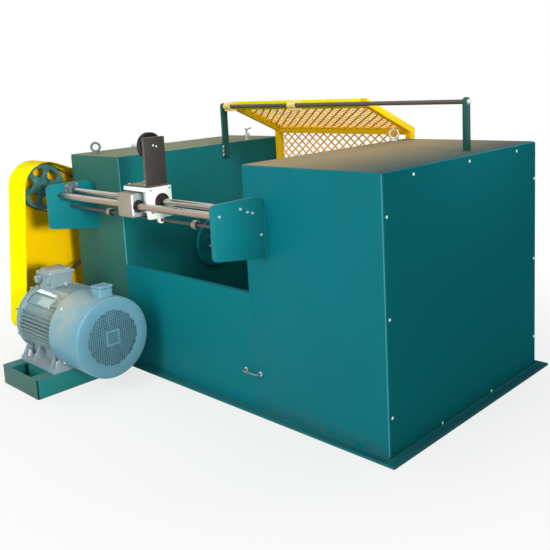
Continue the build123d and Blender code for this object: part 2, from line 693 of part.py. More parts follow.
with BuildPart() as guide_wheel:
    with BuildSketch(round_plane(wheel_x, wheel_y, wheel_z)):
        Circle(WHEEL_DIA / 2)
        Circle(WHEEL_BORE_DIA / 2, mode=Mode.SUBTRACT)
    extrude(amount=WHEEL_WIDTH)
save(guide_wheel.part, "guide_wheel")

# Motor base: two side channels from the base plate on, closed by a front plate, with a cross channel
base_back = -BASE_FRONT_LIP
front_plate_back = MOTOR_BASE_FRONT + CHANNEL_WALL
frame_x = SHOULDER_X + SHIELD_LENGTH
frame_end = frame_x + FRAME_LENGTH
base_left = frame_x + BASE_LEFT_INSET
base_right = frame_end - BASE_RIGHT_INSET
with BuildPart() as motor_base_front:
    with BuildSketch(Plane.YZ.offset(base_left)):
        with Locations((MOTOR_BASE_FRONT, 0)):
            Rectangle(CHANNEL_WALL, MOTOR_BASE_HEIGHT, align=(Align.MIN, Align.MIN))
    extrude(amount=base_right - base_left)
save(motor_base_front.part, "motor_base_front")


def make_side_channel(x, direction):
    """Side channel of the motor base from the plane x on, open in the given direction."""
    with BuildPart() as channel:
        with BuildSketch(Plane.XZ.offset(-base_back)):
            Rectangle(CHANNEL_FLANGE, MOTOR_BASE_HEIGHT, align=(Align.CENTER, Align.MIN))
            with Locations((direction * CHANNEL_WALL, CHANNEL_WALL)):
                Rectangle(
                    CHANNEL_FLANGE,
                    MOTOR_BASE_HEIGHT - 2 * CHANNEL_WALL,
                    align=(Align.CENTER, Align.MIN),
                    mode=Mode.SUBTRACT,
                )
        extrude(amount=base_back - front_plate_back)
    return channel.part.moved(Location((x + CHANNEL_FLANGE / 2, 0, 0)))


save(make_side_channel(base_left, 1), "motor_base_left")
save(make_side_channel(base_right - CHANNEL_FLANGE, -1), "motor_base_right")

foot_reach = FRAME_DIA / 2 + FOOT_OUTREACH
cross_front = MOTOR_Y - foot_reach + CROSS_INSET
with BuildPart() as motor_base_cross:
    with BuildSketch(Plane.YZ.offset(base_left + CHANNEL_FLANGE)):
        with Locations((cross_front, 0)):
            Rectangle(CHANNEL_FLANGE, MOTOR_BASE_HEIGHT, align=(Align.MIN, Align.MIN))
        with Locations((cross_front + CHANNEL_WALL, CHANNEL_WALL)):
            Rectangle(
                CHANNEL_FLANGE,
                MOTOR_BASE_HEIGHT - 2 * CHANNEL_WALL,
                align=(Align.MIN, Align.MIN),
                mode=Mode.SUBTRACT,
            )
    extrude(amount=base_right - base_left - 2 * CHANNEL_FLANGE)
save(motor_base_cross.part, "motor_base_cross")

# Motor frame: a barrel with lengthwise cooling fins on its sides, and upright ones behind the box
top_fin_x = frame_x + BOX_INSET + BOX_LENGTH + LID_OVERHANG + TOP_FIN_GAP
with BuildPart() as motor_frame:
    with BuildSketch(round_plane(frame_x, MOTOR_Y, MOTOR_Z)):
        Circle(FRAME_DIA / 2)
        for first_fin in (FIN_LOWEST, 180 - FIN_LOWEST - FIN_SWEEP):
            with PolarLocations(FRAME_DIA / 2, FIN_COUNT, first_fin, FIN_SWEEP, endpoint=True):
                Rectangle(2 * FIN_HEIGHT, FIN_THICK)
    extrude(amount=FRAME_LENGTH)
    with BuildSketch(round_plane(top_fin_x, MOTOR_Y, MOTOR_Z)):
        with GridLocations(TOP_FIN_PITCH, 0, TOP_FIN_COUNT, 1):
            Rectangle(FIN_THICK, FRAME_DIA / 2 + TOP_FIN_RISE, align=(Align.CENTER, Align.MIN))
    extrude(amount=frame_end - top_fin_x)
save(motor_frame.part, "motor_frame")

# Two feet, each a drilled bar along X with a web that rises to the frame
foot_left = frame_x + FOOT_LEFT_INSET
foot_right = frame_end - FOOT_RIGHT_INSET
foot_top = MOTOR_BASE_HEIGHT + FOOT_THICK
with BuildPart() as motor_feet:
    for side in (-1, 1):
        foot_edge = MOTOR_Y + side * foot_reach
        foot_inner = foot_edge - side * FOOT_WIDTH
        with BuildSketch(Plane.YZ.offset(foot_left)):
            with BuildLine():
                Polyline(
                    (foot_edge, MOTOR_BASE_HEIGHT),
                    (foot_edge, foot_top),
                    (foot_inner, foot_top),
                    (foot_inner, foot_top + FOOT_WEB_RISE),
                    (MOTOR_Y + side * FRAME_DIA / 4, MOTOR_Z),
                    (MOTOR_Y + side * FRAME_DIA / 4, MOTOR_BASE_HEIGHT),
                    close=True,
                )
            make_face()
        extrude(amount=foot_right - foot_left)
        with BuildSketch(Plane.XY.offset(MOTOR_BASE_HEIGHT)):
            for bolt_x in (foot_left + FOOT_BOLT_INSET, foot_right - FOOT_BOLT_INSET):
                with Locations((bolt_x, foot_edge - side * FOOT_BOLT_EDGE)):
                    Circle(FOOT_BOLT_DIA / 2)
        extrude(amount=FOOT_THICK, mode=Mode.SUBTRACT)
    with BuildSketch(round_plane(foot_left, MOTOR_Y, MOTOR_Z)):
        Circle(FRAME_DIA / 2)
    extrude(amount=foot_right - foot_left, mode=Mode.SUBTRACT)
save(motor_feet.part, "motor_feet")

# Drive-end shield with its bearing cap, bored for the shaft
with BuildPart() as end_shield:
    with BuildSketch(round_plane(frame_x, MOTOR_Y, MOTOR_Z)):
        Circle(FRAME_DIA / 2 + SHIELD_STEP)
    with BuildSketch(round_plane(SHOULDER_X, MOTOR_Y, MOTOR_Z)):
        Circle(SHIELD_NOSE_DIA / 2)
    loft()
    with BuildSketch(round_plane(SHOULDER_X, MOTOR_Y, MOTOR_Z)):
        Circle(MOTOR_SHAFT_DIA / 2 + RUNNING_FIT)
    extrude(amount=SHIELD_LENGTH, mode=Mode.SUBTRACT)
save(end_shield.part, "end_shield")

# Fan cowl behind the frame
cowl_radius = FRAME_DIA / 2 + COWL_STEP
with BuildPart() as fan_cowl:
    with BuildSketch(round_plane(frame_end, MOTOR_Y, MOTOR_Z)):
        Circle(cowl_radius)
    extrude(amount=COWL_LENGTH)
    fillet(fan_cowl.edges().group_by(Axis.X)[-1], COWL_ROUND)
save(fan_cowl.part, "fan_cowl")

# Terminal box on the frame, with its lid
box_mid = frame_x + BOX_INSET + BOX_LENGTH / 2
box_low = MOTOR_Z + FRAME_DIA / 2 - BOX_SINK
box_top = MOTOR_Z + FRAME_DIA / 2 + BOX_RISE
with BuildPart() as terminal_box:
    with BuildSketch(Plane.XY.offset(box_low)):
        with Locations((box_mid, MOTOR_Y)):
            RectangleRounded(BOX_LENGTH, BOX_WIDTH, BOX_ROUND)
    extrude(amount=box_top - LID_THICK - box_low)
    with BuildSketch(round_plane(frame_x, MOTOR_Y, MOTOR_Z)):
        Circle(FRAME_DIA / 2)
    extrude(amount=FRAME_LENGTH, mode=Mode.SUBTRACT)
save(terminal_box.part, "terminal_box")

with BuildPart() as terminal_lid:
    with BuildSketch(Plane.XY.offset(box_top - LID_THICK)):
        with Locations((box_mid, MOTOR_Y)):
            RectangleRounded(BOX_LENGTH + 2 * LID_OVERHANG, BOX_WIDTH + 2 * LID_OVERHANG, BOX_ROUND)
    extrude(amount=LID_THICK)
    fillet(terminal_lid.edges().group_by(Axis.Z)[-1], LID_THICK / 3)
save(terminal_lid.part, "terminal_lid")

# Small terminal box of the fan, on the cowl
fan_box_mid = frame_end + FAN_BOX_INSET + FAN_BOX_LENGTH / 2
with BuildPart() as fan_box:
    with BuildSketch(Plane.XY.offset(MOTOR_Z)):
        with Locations((fan_box_mid, MOTOR_Y)):
            RectangleRounded(FAN_BOX_LENGTH, FAN_BOX_WIDTH, BOX_ROUND)
    extrude(amount=cowl_radius + FAN_BOX_RISE)
    with BuildSketch(round_plane(frame_end, MOTOR_Y, MOTOR_Z)):
        Circle(cowl_radius)
    extrude(amount=COWL_LENGTH, mode=Mode.SUBTRACT)
save(fan_box.part, "fan_box")


def make_post(x, low):
    """Flat post with a round head, holding the cover's pivot rod."""
    with BuildPart() as post:
        with BuildSketch(Plane.YZ.offset(x)):
            with Locations((PIVOT_Y, low)):
                Rectangle(POST_WIDTH, PIVOT_Z - low, align=(Align.CENTER, Align.MIN))
            with Locations((PIVOT_Y, PIVOT_Z)):
                Circle(POST_WIDTH / 2)
        extrude(amount=POST_THICK)
    return post.part


right_post_x = MACHINE_RIGHT - RIGHT_POST_INSET
save(make_post(BAY_LEFT, HOUSING_TOP - POST_LAP), "left_cover_post")
save(make_post(right_post_x, HOUSING_TOP), "right_cover_post")

# Pivot rod of the cover, face to face between its posts
pivot_start = BAY_LEFT + POST_THICK
with BuildPart() as pivot_rod:
    with BuildSketch(round_plane(pivot_start, PIVOT_Y, PIVOT_Z)):
        Circle(PIVOT_DIA / 2)
    extrude(amount=right_post_x - pivot_start)
save(pivot_rod.part, "pivot_rod")

# Mesh cover: its top laps over the right housing, its back hangs in the bay between the housings
cover_left = BAY_LEFT + COVER_LEFT_GAP
cover_right = BAY_RIGHT + COVER_RIGHT_LAP
hang_right = BAY_RIGHT - COVER_HANG_GAP
cover_bottom = BAY_PANEL_TOP + COVER_BOTTOM_RISE
leg_bottom = HOUSING_TOP + COVER_LEG_GAP
top_start = (PIVOT_Y + COVER_TOP_START, PIVOT_Z + COVER_TOP_RISE)
knee = (HOUSING_DEPTH - COVER_BACK_INSET, HOUSING_TOP + COVER_KNEE_RISE)
slope = atan2(knee[1] - top_start[1], knee[0] - top_start[0])
rail_end = (top_start[0] + COVER_BAR * cos(slope), top_start[1] + COVER_BAR * sin(slope))
knee_front = (knee[0] - COVER_BAR, knee[1] - COVER_BAR * tan(slope))


def cover_bar_outline(low):
    """Bent side bar, from the top rail over the knee down to low, in the open line builder."""
    Polyline(
        top_start,
        knee,
        (knee[0], low),
        (knee_front[0], low),
        (knee_front[0], knee_front[1] - COVER_BAR),
        (top_start[0], top_start[1] - COVER_BAR),
        close=True,
    )


with BuildPart() as cover_frame:
    with BuildSketch(Plane.YZ.offset(cover_left)):
        with BuildLine():
            cover_bar_outline(cover_bottom)
        make_face()
    extrude(amount=COVER_BAR)
    with BuildSketch(Plane.YZ.offset(cover_right - COVER_BAR)):
        with BuildLine():
            cover_bar_outline(leg_bottom)
        make_face()
    extrude(amount=COVER_BAR)
    with BuildSketch(Plane.YZ.offset(cover_left)):
        with BuildLine():
            Polyline(
                top_start,
                rail_end,
                (rail_end[0], rail_end[1] - COVER_BAR),
                (top_start[0], top_start[1] - COVER_BAR),
                close=True,
            )
        make_face()
        with Locations(knee):
            Rectangle(COVER_BAR, COVER_BAR, align=(Align.MAX, Align.MAX))
    extrude(amount=cover_right - cover_left)
    with BuildSketch(Plane.YZ.offset(cover_left)):
        with Locations((knee[0], cover_bottom)):
            Rectangle(COVER_BAR, COVER_BAR, align=(Align.MAX, Align.MIN))
    extrude(amount=hang_right - cover_left)
    with BuildSketch(Plane.YZ.offset(hang_right - COVER_BAR)):
        with Locations((knee[0], cover_bottom)):
            Rectangle(COVER_BAR, knee[1] - cover_bottom, align=(Align.MAX, Align.MIN))
    extrude(amount=COVER_BAR)
save(cover_frame.part, "cover_frame")

# Mesh panels of the cover, flush with the outer side of its frame, as sheets with a grid of openings
mesh_left = cover_left + COVER_BAR


def cut_grid(width, height, rows):
    """Draw a grid of openings over a panel of this size, centred in the open sketch."""
    pitch_x, pitch_y = width / MESH_ACROSS, height / rows
    with GridLocations(pitch_x, pitch_y, MESH_ACROSS, rows):
        Rectangle(pitch_x - MESH_STRAND, pitch_y - MESH_STRAND)


top_width = cover_right - COVER_BAR - mesh_left
top_middle = ((rail_end[0] + knee_front[0]) / 2, (rail_end[1] + knee_front[1]) / 2)
with BuildPart() as cover_top_mesh:
    with BuildSketch(Plane.YZ.offset(mesh_left)):
        with BuildLine():
            Polyline(
                rail_end,
                knee_front,
                (knee_front[0], knee_front[1] - COVER_MESH_THICK),
                (rail_end[0], rail_end[1] - COVER_MESH_THICK),
                close=True,
            )
        make_face()
    extrude(amount=top_width)
    with BuildSketch(
        Plane(
            origin=(mesh_left + top_width / 2, *top_middle),
            x_dir=(1, 0, 0),
            z_dir=(0, -sin(slope), cos(slope)),
        )
    ):
        cut_grid(top_width, (knee_front[0] - rail_end[0]) / cos(slope), TOP_MESH_ROWS)
    extrude(amount=2 * COVER_MESH_THICK, both=True, mode=Mode.SUBTRACT)
save(cover_top_mesh.part, "cover_top_mesh")

hang_width = hang_right - COVER_BAR - mesh_left
hang_low = cover_bottom + COVER_BAR
hang_height = knee[1] - COVER_BAR - hang_low
with BuildPart() as cover_back_mesh:
    with BuildSketch(Plane.XZ.offset(-knee[0])):
        with Locations((mesh_left + hang_width / 2, hang_low + hang_height / 2)):
            Rectangle(hang_width, hang_height)
    extrude(amount=COVER_MESH_THICK)
    with BuildSketch(Plane.XZ.offset(-knee[0])):
        with Locations((mesh_left + hang_width / 2, hang_low + hang_height / 2)):
            cut_grid(hang_width, hang_height, BACK_MESH_ROWS)
    extrude(amount=COVER_MESH_THICK, mode=Mode.SUBTRACT)
save(cover_back_mesh.part, "cover_back_mesh")

# Two lugs that swing on the pivot rod and carry the cover's top rail
lug_bore = PIVOT_DIA / 2 + RUNNING_FIT
lug_middle = (cover_left + cover_right) / 2 + LUG_SHIFT
with BuildPart() as cover_lugs:
    for lug_x in (pivot_start + LUG_GAP, lug_middle - LUG_WIDTH / 2):
        with BuildSketch(Plane.YZ.offset(lug_x)):
            with Locations((PIVOT_Y, PIVOT_Z)):
                Circle(lug_bore + LUG_WALL)
            with BuildLine():
                Polyline(
                    (PIVOT_Y, PIVOT_Z - lug_bore - LUG_WALL),
                    (top_start[0], top_start[1] - COVER_BAR),
                    top_start,
                    (PIVOT_Y, PIVOT_Z + lug_bore + LUG_WALL),
                    close=True,
                )
            make_face()
            with Locations((PIVOT_Y, PIVOT_Z)):
                Circle(lug_bore, mode=Mode.SUBTRACT)
        extrude(amount=LUG_WIDTH)
save(cover_lugs.part, "cover_lugs")


def make_lifting_eye(point):
    """Lifting eye bolt: a collar on the housing's top and a ring that stands on it."""
    ring_radius = (EYE_RING_DIA - EYE_WIRE_DIA) / 2
    ring_z = HOUSING_TOP + EYE_COLLAR_HEIGHT + EYE_RING_DIA / 2 - EYE_WIRE_DIA / 4
    with BuildPart() as eye:
        with BuildSketch(Plane.XY.offset(HOUSING_TOP)):
            with Locations(point):
                Circle(EYE_COLLAR_DIA / 2)
        extrude(amount=EYE_COLLAR_HEIGHT)
        with Locations(Location((point[0], point[1], ring_z), (90, 0, EYE_TURN))):
            Torus(ring_radius, EYE_WIRE_DIA / 2)
    return eye.part


save(make_lifting_eye((LEFT_EYE_X, LEFT_EYE_Y)), "left_lifting_eye")
save(
    make_lifting_eye((BAY_RIGHT + RIGHT_EYE_INSET, HOUSING_DEPTH - RIGHT_EYE_FROM_BACK)),
    "right_lifting_eye",
)

# Pull handle low on the front, across the joint of the bay panel and the right housing
handle_x = BAY_RIGHT + HANDLE_OFFSET
with BuildPart() as front_handle:
    with BuildSketch(Plane.XY.offset(HANDLE_Z)):
        with Locations((handle_x, -HANDLE_REACH)):
            Rectangle(HANDLE_WIDTH, HANDLE_BAR, align=(Align.CENTER, Align.MIN))
        for side in (-1, 1):
            with Locations((handle_x + side * (HANDLE_WIDTH - HANDLE_BAR) / 2, 0)):
                Rectangle(HANDLE_BAR, HANDLE_REACH, align=(Align.CENTER, Align.MAX))
    extrude(amount=HANDLE_BAR)
save(front_handle.part, "front_handle")
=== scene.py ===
"""Looks of the wire spooler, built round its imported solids.

The solids keep their places. Where a finer form is wanted, a piece made with bmesh operators stands
in for the solid and rides on the same body. Sizes are in millimetres and become metres at the end.
"""

import logging
import math
from dataclasses import dataclass
from enum import Enum

import bmesh
import bpy
from mathutils import Matrix, Vector


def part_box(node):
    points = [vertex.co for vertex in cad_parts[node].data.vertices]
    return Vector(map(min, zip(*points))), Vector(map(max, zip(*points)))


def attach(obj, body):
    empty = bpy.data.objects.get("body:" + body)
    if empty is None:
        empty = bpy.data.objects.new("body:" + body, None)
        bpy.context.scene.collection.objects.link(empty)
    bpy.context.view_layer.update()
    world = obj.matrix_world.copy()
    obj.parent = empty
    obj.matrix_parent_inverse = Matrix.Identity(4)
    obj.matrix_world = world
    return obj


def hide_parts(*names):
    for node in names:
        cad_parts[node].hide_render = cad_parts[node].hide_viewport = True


log = logging.getLogger("spooler")
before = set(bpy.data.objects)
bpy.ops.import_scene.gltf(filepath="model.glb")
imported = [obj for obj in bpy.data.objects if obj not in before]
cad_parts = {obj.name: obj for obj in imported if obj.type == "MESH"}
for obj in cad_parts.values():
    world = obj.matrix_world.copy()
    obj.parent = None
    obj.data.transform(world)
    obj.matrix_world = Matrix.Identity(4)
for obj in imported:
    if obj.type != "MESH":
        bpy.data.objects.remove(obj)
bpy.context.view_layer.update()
MM = 0.001
MERGE = 0.002
SMOOTH_ANGLE = math.radians(38)
EASE_ANGLE = math.radians(40)
FULL_TURN = 2 * math.pi
SHAFT_BORE = 17.6
WHITE_LIGHT = (1.0, 1.0, 1.0, 1.0)

# Values of a noise, or of a normal, between which one look gives way to the next.
PATCH_EDGE = (0.38, 0.66)
SOFT_EDGE = (0.3, 0.7)
DUST_AND_LIGHT_EDGE = (0.25, 0.75)
SPOT_EDGE = (0.2, 0.6)
GRIME_EDGE = (0.35, 0.7)
# The next two are the normals over which painted light and shade take over, on faces that look to +X and on
# faces that look to the front.
PAINTED_LIGHT_X_NORMALS = (0.6, 0.95)
PAINTED_LIGHT_FRONT_NORMALS = (-0.6, -0.95)
# Normals over which dust, together with painted light and shade, takes over on faces that look up.
FACES_UP = (0.75, 0.97)

# Patches per metre and octaves of the noises that break up the dust and painted light on upward faces, spots,
# grime and flat sheet.
DUST_AND_LIGHT_NOISE = (5.0, 6.0)
SPOT_NOISE = (9.0, 5.0)
GRIME_NOISE = (14.0, 8.0)
WAVE_NOISE = (2.2, 1.0)

# Where along X, in metres, the dust and painted light on upward faces take their right-hand colour, and the
# colour of grime.
DUST_AND_LIGHT_RUN = (1.7, 2.25)
GRIME = (96, 94, 84)

Point = tuple[float, float, float]
Colour = tuple[float, float, float]
Profile = list[tuple[float, float]]
Socket = bpy.types.NodeSocket


class Body(str, Enum):
    """Bodies of the machine that pieces ride on."""

    MACHINE = "machine"
    SPINDLE = "spindle"
    ROTOR = "motor_rotor"
    TRAVERSE = "traverse_drive"
    CARRIAGE = "carriage"
    WHEEL = "guide_wheel"
    COVER = "mesh_cover"


class Axis(Enum):
    """Directions that round pieces are turned about."""

    X = (1.0, 0.0, 0.0)
    Y = (0.0, 1.0, 0.0)
    Z = (0.0, 0.0, 1.0)
    LEFT = (-1.0, 0.0, 0.0)
    FRONT = (0.0, -1.0, 0.0)

    @property
    def vector(self) -> Vector:
        """Unit vector of the direction."""
        return Vector(self.value)


def turn_to(direction: Vector) -> Matrix:
    """Give the rotation that takes the local Z axis to a direction."""
    return direction.to_track_quat("Z", "Y").to_matrix().to_4x4()


def linear(colour: Colour) -> tuple[float, float, float, float]:
    """Turn a display colour of 0 to 255 into the linear colour that shaders take.

    Args:
        colour: Red, green and blue as seen on a screen.

    Returns:
        Linear red, green, blue and an alpha of 1.
    """
    parts = [channel / 255 for channel in colour]
    curve = [p / 12.92 if p <= 0.04045 else ((p + 0.055) / 1.055) ** 2.4 for p in parts]
    return curve[0], curve[1], curve[2], 1.0


def both_halves(half: Profile, width: float) -> Profile:
    """Close the profile of a ring that is alike on both sides of its middle."""
    return half + [(width - along, radius) for along, radius in reversed(half)] + half[:1]


def on_circle(middle: Vector, radius: float, count: int, turn: float = 0.0) -> Profile:
    """Give Y and Z of points spaced evenly on a circle round a line along X."""
    angles = [FULL_TURN * number / count + turn for number in range(count)]
    return [(middle.y + radius * math.cos(a), middle.z + radius * math.sin(a)) for a in angles]


@dataclass(frozen=True)
class Extent:
    """Lowest and highest corner of a solid, in millimetres."""

    low: Vector
    high: Vector

    @classmethod
    def of(cls, node: str) -> "Extent":
        """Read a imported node's corners at rest."""
        low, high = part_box(node)
        return cls(Vector(low) / MM, Vector(high) / MM)

    @property
    def middle(self) -> Vector:
        """Centre of the extent."""
        return (self.low + self.high) / 2

    @property
    def size(self) -> Vector:
        """Length along each axis."""
        return self.high - self.low

    @property
    def start(self) -> Vector:
        """Centre of the left face, where pieces turned along X start."""
        return Vector((self.low.x, self.middle.y, self.middle.z))


class Board:
    """Short-hand for laying out the nodes of a material or the world."""

    def __init__(self, owner: bpy.types.Material | bpy.types.World) -> None:
        """Empty the owner's node tree.

        Args:
            owner: Material or world whose nodes are laid out.
        """
        owner.use_nodes = True
        self.tree = owner.node_tree
        self.tree.nodes.clear()

    def node(self, kind: str, sockets: dict | None = None, **settings: object) -> bpy.types.Node:
        """Add a node and set or link its inputs.

        Args:
            kind: Node type without its ShaderNode prefix.
            sockets: Values or output sockets by input name or index.
            settings: Properties of the node itself.

        Returns:
            The new node.
        """
        made = self.tree.nodes.new("ShaderNode" + kind)
        for name, value in settings.items():
            setattr(made, name, value)
        for name, value in (sockets or {}).items():
            if isinstance(value, Socket):
                self.tree.links.new(value, made.inputs[name])
            else:
                made.inputs[name].default_value = value
        return made

    def noise(self, where: Socket, scale: float, detail: float = 4.0) -> Socket:
        """Add a noise of so many patches per metre, with so many octaves of detail."""
        sockets = {"Vector": where, "Scale": scale, "Detail": detail, "Roughness": 0.6}
        return self.node("TexNoise", sockets).outputs["Fac"]

    def span(
        self, value: Socket, low: float, high: float, to_low: float = 0.0, to_high: float = 1.0
    ) -> Socket:
        """Map a value's range from low to high onto the one from to_low to to_high, clamped."""
        sockets = {"Value": value, "From Min": low, "From Max": high, "To Min": to_low, "To Max": to_high}
        return self.node("MapRange", sockets).outputs["Result"]

    def join(self, operation: str, first: object, second: object, clamp: bool = False) -> Socket:
        """Join two values, each a socket or a number, by a sum."""
        return self.node("Math", {0: first, 1: second}, operation=operation, use_clamp=clamp).outputs[0]

    def blend(self, share: object, first: object, second: object) -> Socket:
        """Mix two colours, the first shown at a share of 0 and the second at 1."""
        return self.node("Mix", {0: share, 6: first, 7: second}, data_type="RGBA").outputs[2]

    def distance(self, where: Socket, point: Point) -> Socket:
        """Give the distance from a point in metres."""
        return self.node("VectorMath", {0: where, 1: point}, operation="DISTANCE").outputs["Value"]

    def seen(self) -> Socket:
        """Give 1 to rays from the camera, straight or by a mirror or glass, and 0 to others.

        Returns:
            The socket of the share.
        """
        path = self.node("LightPath").outputs
        indirect = self.join("MAXIMUM", path["Is Glossy Ray"], path["Is Transmission Ray"])
        return self.join("MAXIMUM", path["Is Camera Ray"], indirect)

    def bump(self, height: object, depth: float, under: object = None) -> Socket:
        """Turn a height pattern into a normal.

        Args:
            height: Pattern of heights from 0 to 1.
            depth: Height in metres that 1 stands for.
            under: Normal of a coarser bump below this one.

        Returns:
            The normal's socket.
        """
        sockets = {"Height": height, "Distance": depth, "Strength": 1.0}
        if under is not None:
            sockets["Normal"] = under
        return self.node("Bump", sockets).outputs["Normal"]


@dataclass(frozen=True)
class Finish:
    """A surface finish: its slot, its colours and the sizes of its pattern."""

    name: str
    slot: str
    colour: Colour
    shade: Colour
    roughness: float = 0.4
    metallic: float = 0.0
    gloss: float = 0.5
    patches: float = 1.6
    patch_share: float = 0.35
    grain: float = 500.0
    grain_depth: float = 0.00004
    wave: float = 0.0
    # Colour of upward faces: dust together with painted light and shade for how the tops are lit, a second
    # colour towards +X, and its share.
    dust_and_painted_light: Colour | None = None
    dust_and_painted_light_right: Colour | None = None
    dust_and_painted_light_share: float = 0.0
    # Painted light and shade: colours for faces that look to +X and to the front, standing in for how light
    # falls on them.
    painted_light_x: Colour | None = None
    ahead: Colour | None = None
    spot: Point | None = None
    spot_radius: float = 0.2
    spot_colour: Colour = (150, 166, 160)
    grime_height: float = 0.0
    lay: Point | None = None

    def material(self) -> bpy.types.Material:
        """Give the finish's material, made once."""
        return bpy.data.materials.get(self.name) or self._make()

    def _make(self) -> bpy.types.Material:
        """Lay out the finish's nodes.

        Returns:
            The new material.
        """
        made = bpy.data.materials.new(self.name)
        board = Board(made)
        places = board.node("TexCoord").outputs
        where = grain_where = places["Object"]
        if self.lay:
            grain_where = board.node("Mapping", {"Vector": where, "Scale": self.lay}).outputs["Vector"]
        fine = board.noise(grain_where, self.grain, 2.0)
        patch = board.span(board.noise(where, self.patches), *PATCH_EDGE, 0.0, self.patch_share)
        colour = board.blend(patch, linear(self.colour), linear(self.shade))
        if self.lay:
            colour = board.blend(board.span(fine, *SOFT_EDGE, 0.0, 0.5), colour, linear(self.shade))
        wear_and_highlight = board.noise(where, self.patches * 6)
        rough = board.span(wear_and_highlight, *SOFT_EDGE, self.roughness * 0.8, min(1.0, self.roughness * 1.25))
        facing = board.node("SeparateXYZ", {0: places["Normal"]}).outputs
        along = board.node("SeparateXYZ", {0: where}).outputs
        # Painted light and shade by the way a face looks: faces to +X and faces to the front take their own
        # colour.
        if self.painted_light_x:
            colour = board.blend(board.span(facing["X"], *PAINTED_LIGHT_X_NORMALS), colour, linear(self.painted_light_x))
        if self.ahead:
            colour = board.blend(board.span(facing["Y"], *PAINTED_LIGHT_FRONT_NORMALS), colour, linear(self.ahead))
        # Upward faces take dust together with painted light and shade, broken up by a noise and changing
        # colour along X.
        if self.dust_and_painted_light:
            uneven = board.noise(where, *DUST_AND_LIGHT_NOISE)
            drift = board.span(uneven, *DUST_AND_LIGHT_EDGE, self.dust_and_painted_light_share * 0.82, self.dust_and_painted_light_share)
            share = board.join("MULTIPLY", board.span(facing["Z"], *FACES_UP), drift)
            film = linear(self.dust_and_painted_light)
            if self.dust_and_painted_light_right:
                film = board.blend(board.span(along["X"], *DUST_AND_LIGHT_RUN), film, linear(self.dust_and_painted_light_right))
            colour = board.blend(share, colour, film)
            rough = board.join("ADD", rough, board.span(share, 0.0, 1.0, 0.0, 0.5), clamp=True)
        if self.spot:
            near = board.span(board.distance(where, self.spot), self.spot_radius, self.spot_radius * 0.2)
            broken = board.span(board.noise(where, *SPOT_NOISE), *SPOT_EDGE)
            colour = board.blend(board.join("MULTIPLY", near, broken), colour, linear(self.spot_colour))
        if self.grime_height:
            low = board.span(along["Z"], self.grime_height, 0.0, 0.0, 0.5)
            broken = board.span(board.noise(where, *GRIME_NOISE), *GRIME_EDGE)
            colour = board.blend(board.join("MULTIPLY", low, broken), colour, linear(GRIME))
        under = board.bump(board.noise(where, *WAVE_NOISE), self.wave) if self.wave else None
        normal = board.bump(fine, self.grain_depth, under)
        sockets = {"Base Color": colour, "Roughness": rough, "Metallic": self.metallic, "Normal": normal}
        shader = board.node("BsdfPrincipled", sockets)
        shader.inputs["Specular IOR Level"].default_value = self.gloss
        board.node("OutputMaterial", {"Surface": shader.outputs[0]})
        return made


# Housing tops: dust together with a painted beige reflection, turning to a painted darker grey reflection
# towards the right end.
TEAL = Finish(
    "teal_enamel", "teal_paint", (8, 114, 124), (18, 104, 110), 0.36, gloss=0.06, wave=0.0012,
    dust_and_painted_light=(166, 144, 104), dust_and_painted_light_right=(82, 86, 80), dust_and_painted_light_share=0.96, grime_height=0.09,
)
# Left housing: dust and a painted reflection on top, painted light and shade on its bay wall facing +X, and a
# painted olive reflection on its front.
TEAL_LEFT = Finish(
    "teal_enamel_left", "teal_paint", (12, 110, 116), (24, 104, 106), 0.4, gloss=0.05, wave=0.001,
    dust_and_painted_light=(140, 138, 108), dust_and_painted_light_share=0.96, painted_light_x=(22, 108, 110), ahead=(52, 105, 94),
)
# Bay panels: upward faces and faces to +X are painted darker teal as painted shade.
TEAL_FLAT = Finish(
    "teal_enamel_flat", "teal_paint", (10, 116, 124), (20, 106, 112), 0.4, gloss=0.04, wave=0.0012,
    dust_and_painted_light=(24, 96, 96), dust_and_painted_light_share=0.6, painted_light_x=(12, 104, 110),
)
# End panel: faces to +X are painted darker teal as painted shade.
TEAL_END = Finish(
    "teal_enamel_end", "teal_paint", (10, 116, 124), (20, 106, 112), 0.4, gloss=0.0, wave=0.0012,
    painted_light_x=(14, 102, 108),
)
# Base plate: upward faces take dust with painted light, turning to painted shade towards the right end; faces
# to +X take painted shade.
TEAL_BASE = Finish(
    "teal_enamel_base", "teal_paint", (30, 116, 122), (50, 112, 114), 0.5, gloss=0.0, patches=5.0,
    dust_and_painted_light=(44, 106, 110), dust_and_painted_light_right=(28, 76, 80), dust_and_painted_light_share=0.8, painted_light_x=(46, 96, 100),
)
TEAL_SMALL = Finish(
    "teal_enamel_small", "teal_paint", (12, 114, 122), (28, 106, 108), 0.36, gloss=0.1, patches=7.0,
    dust_and_painted_light=(110, 132, 124), dust_and_painted_light_share=0.5,
)
TEAL_DUSTY = Finish(
    "teal_enamel_dusty", "teal_paint", (48, 112, 112), (84, 118, 116), 0.5, gloss=0.2, patches=14.0,
    patch_share=0.7, dust_and_painted_light=(130, 140, 130), dust_and_painted_light_share=0.6,
)
# Grey-green on the teal base's front plate and flange edges is a painted reflection; faces to +X take a
# lighter painted light.
BASE_FRONT_SHEEN = Finish(
    "base_front_painted_sheen", "teal_paint", (68, 106, 100), (60, 92, 86), 0.46, gloss=0.1, patches=9.0,
    dust_and_painted_light=(96, 130, 126), dust_and_painted_light_share=0.7, painted_light_x=(72, 122, 118),
)
BASE_WEB = Finish(
    "base_web_teal", "teal_paint", (38, 128, 126), (52, 132, 124), 0.42, gloss=0.1, patches=6.0,
    dust_and_painted_light=(92, 126, 120), dust_and_painted_light_share=0.6,
)
# A near-black teal for the painted shadow in the gap at the motor base's front corner.
CORNER_SHADOW_DARK = Finish("seam_shadow", "teal_paint", (20, 48, 46), (28, 58, 54), 0.7, gloss=0.1, patches=20.0)
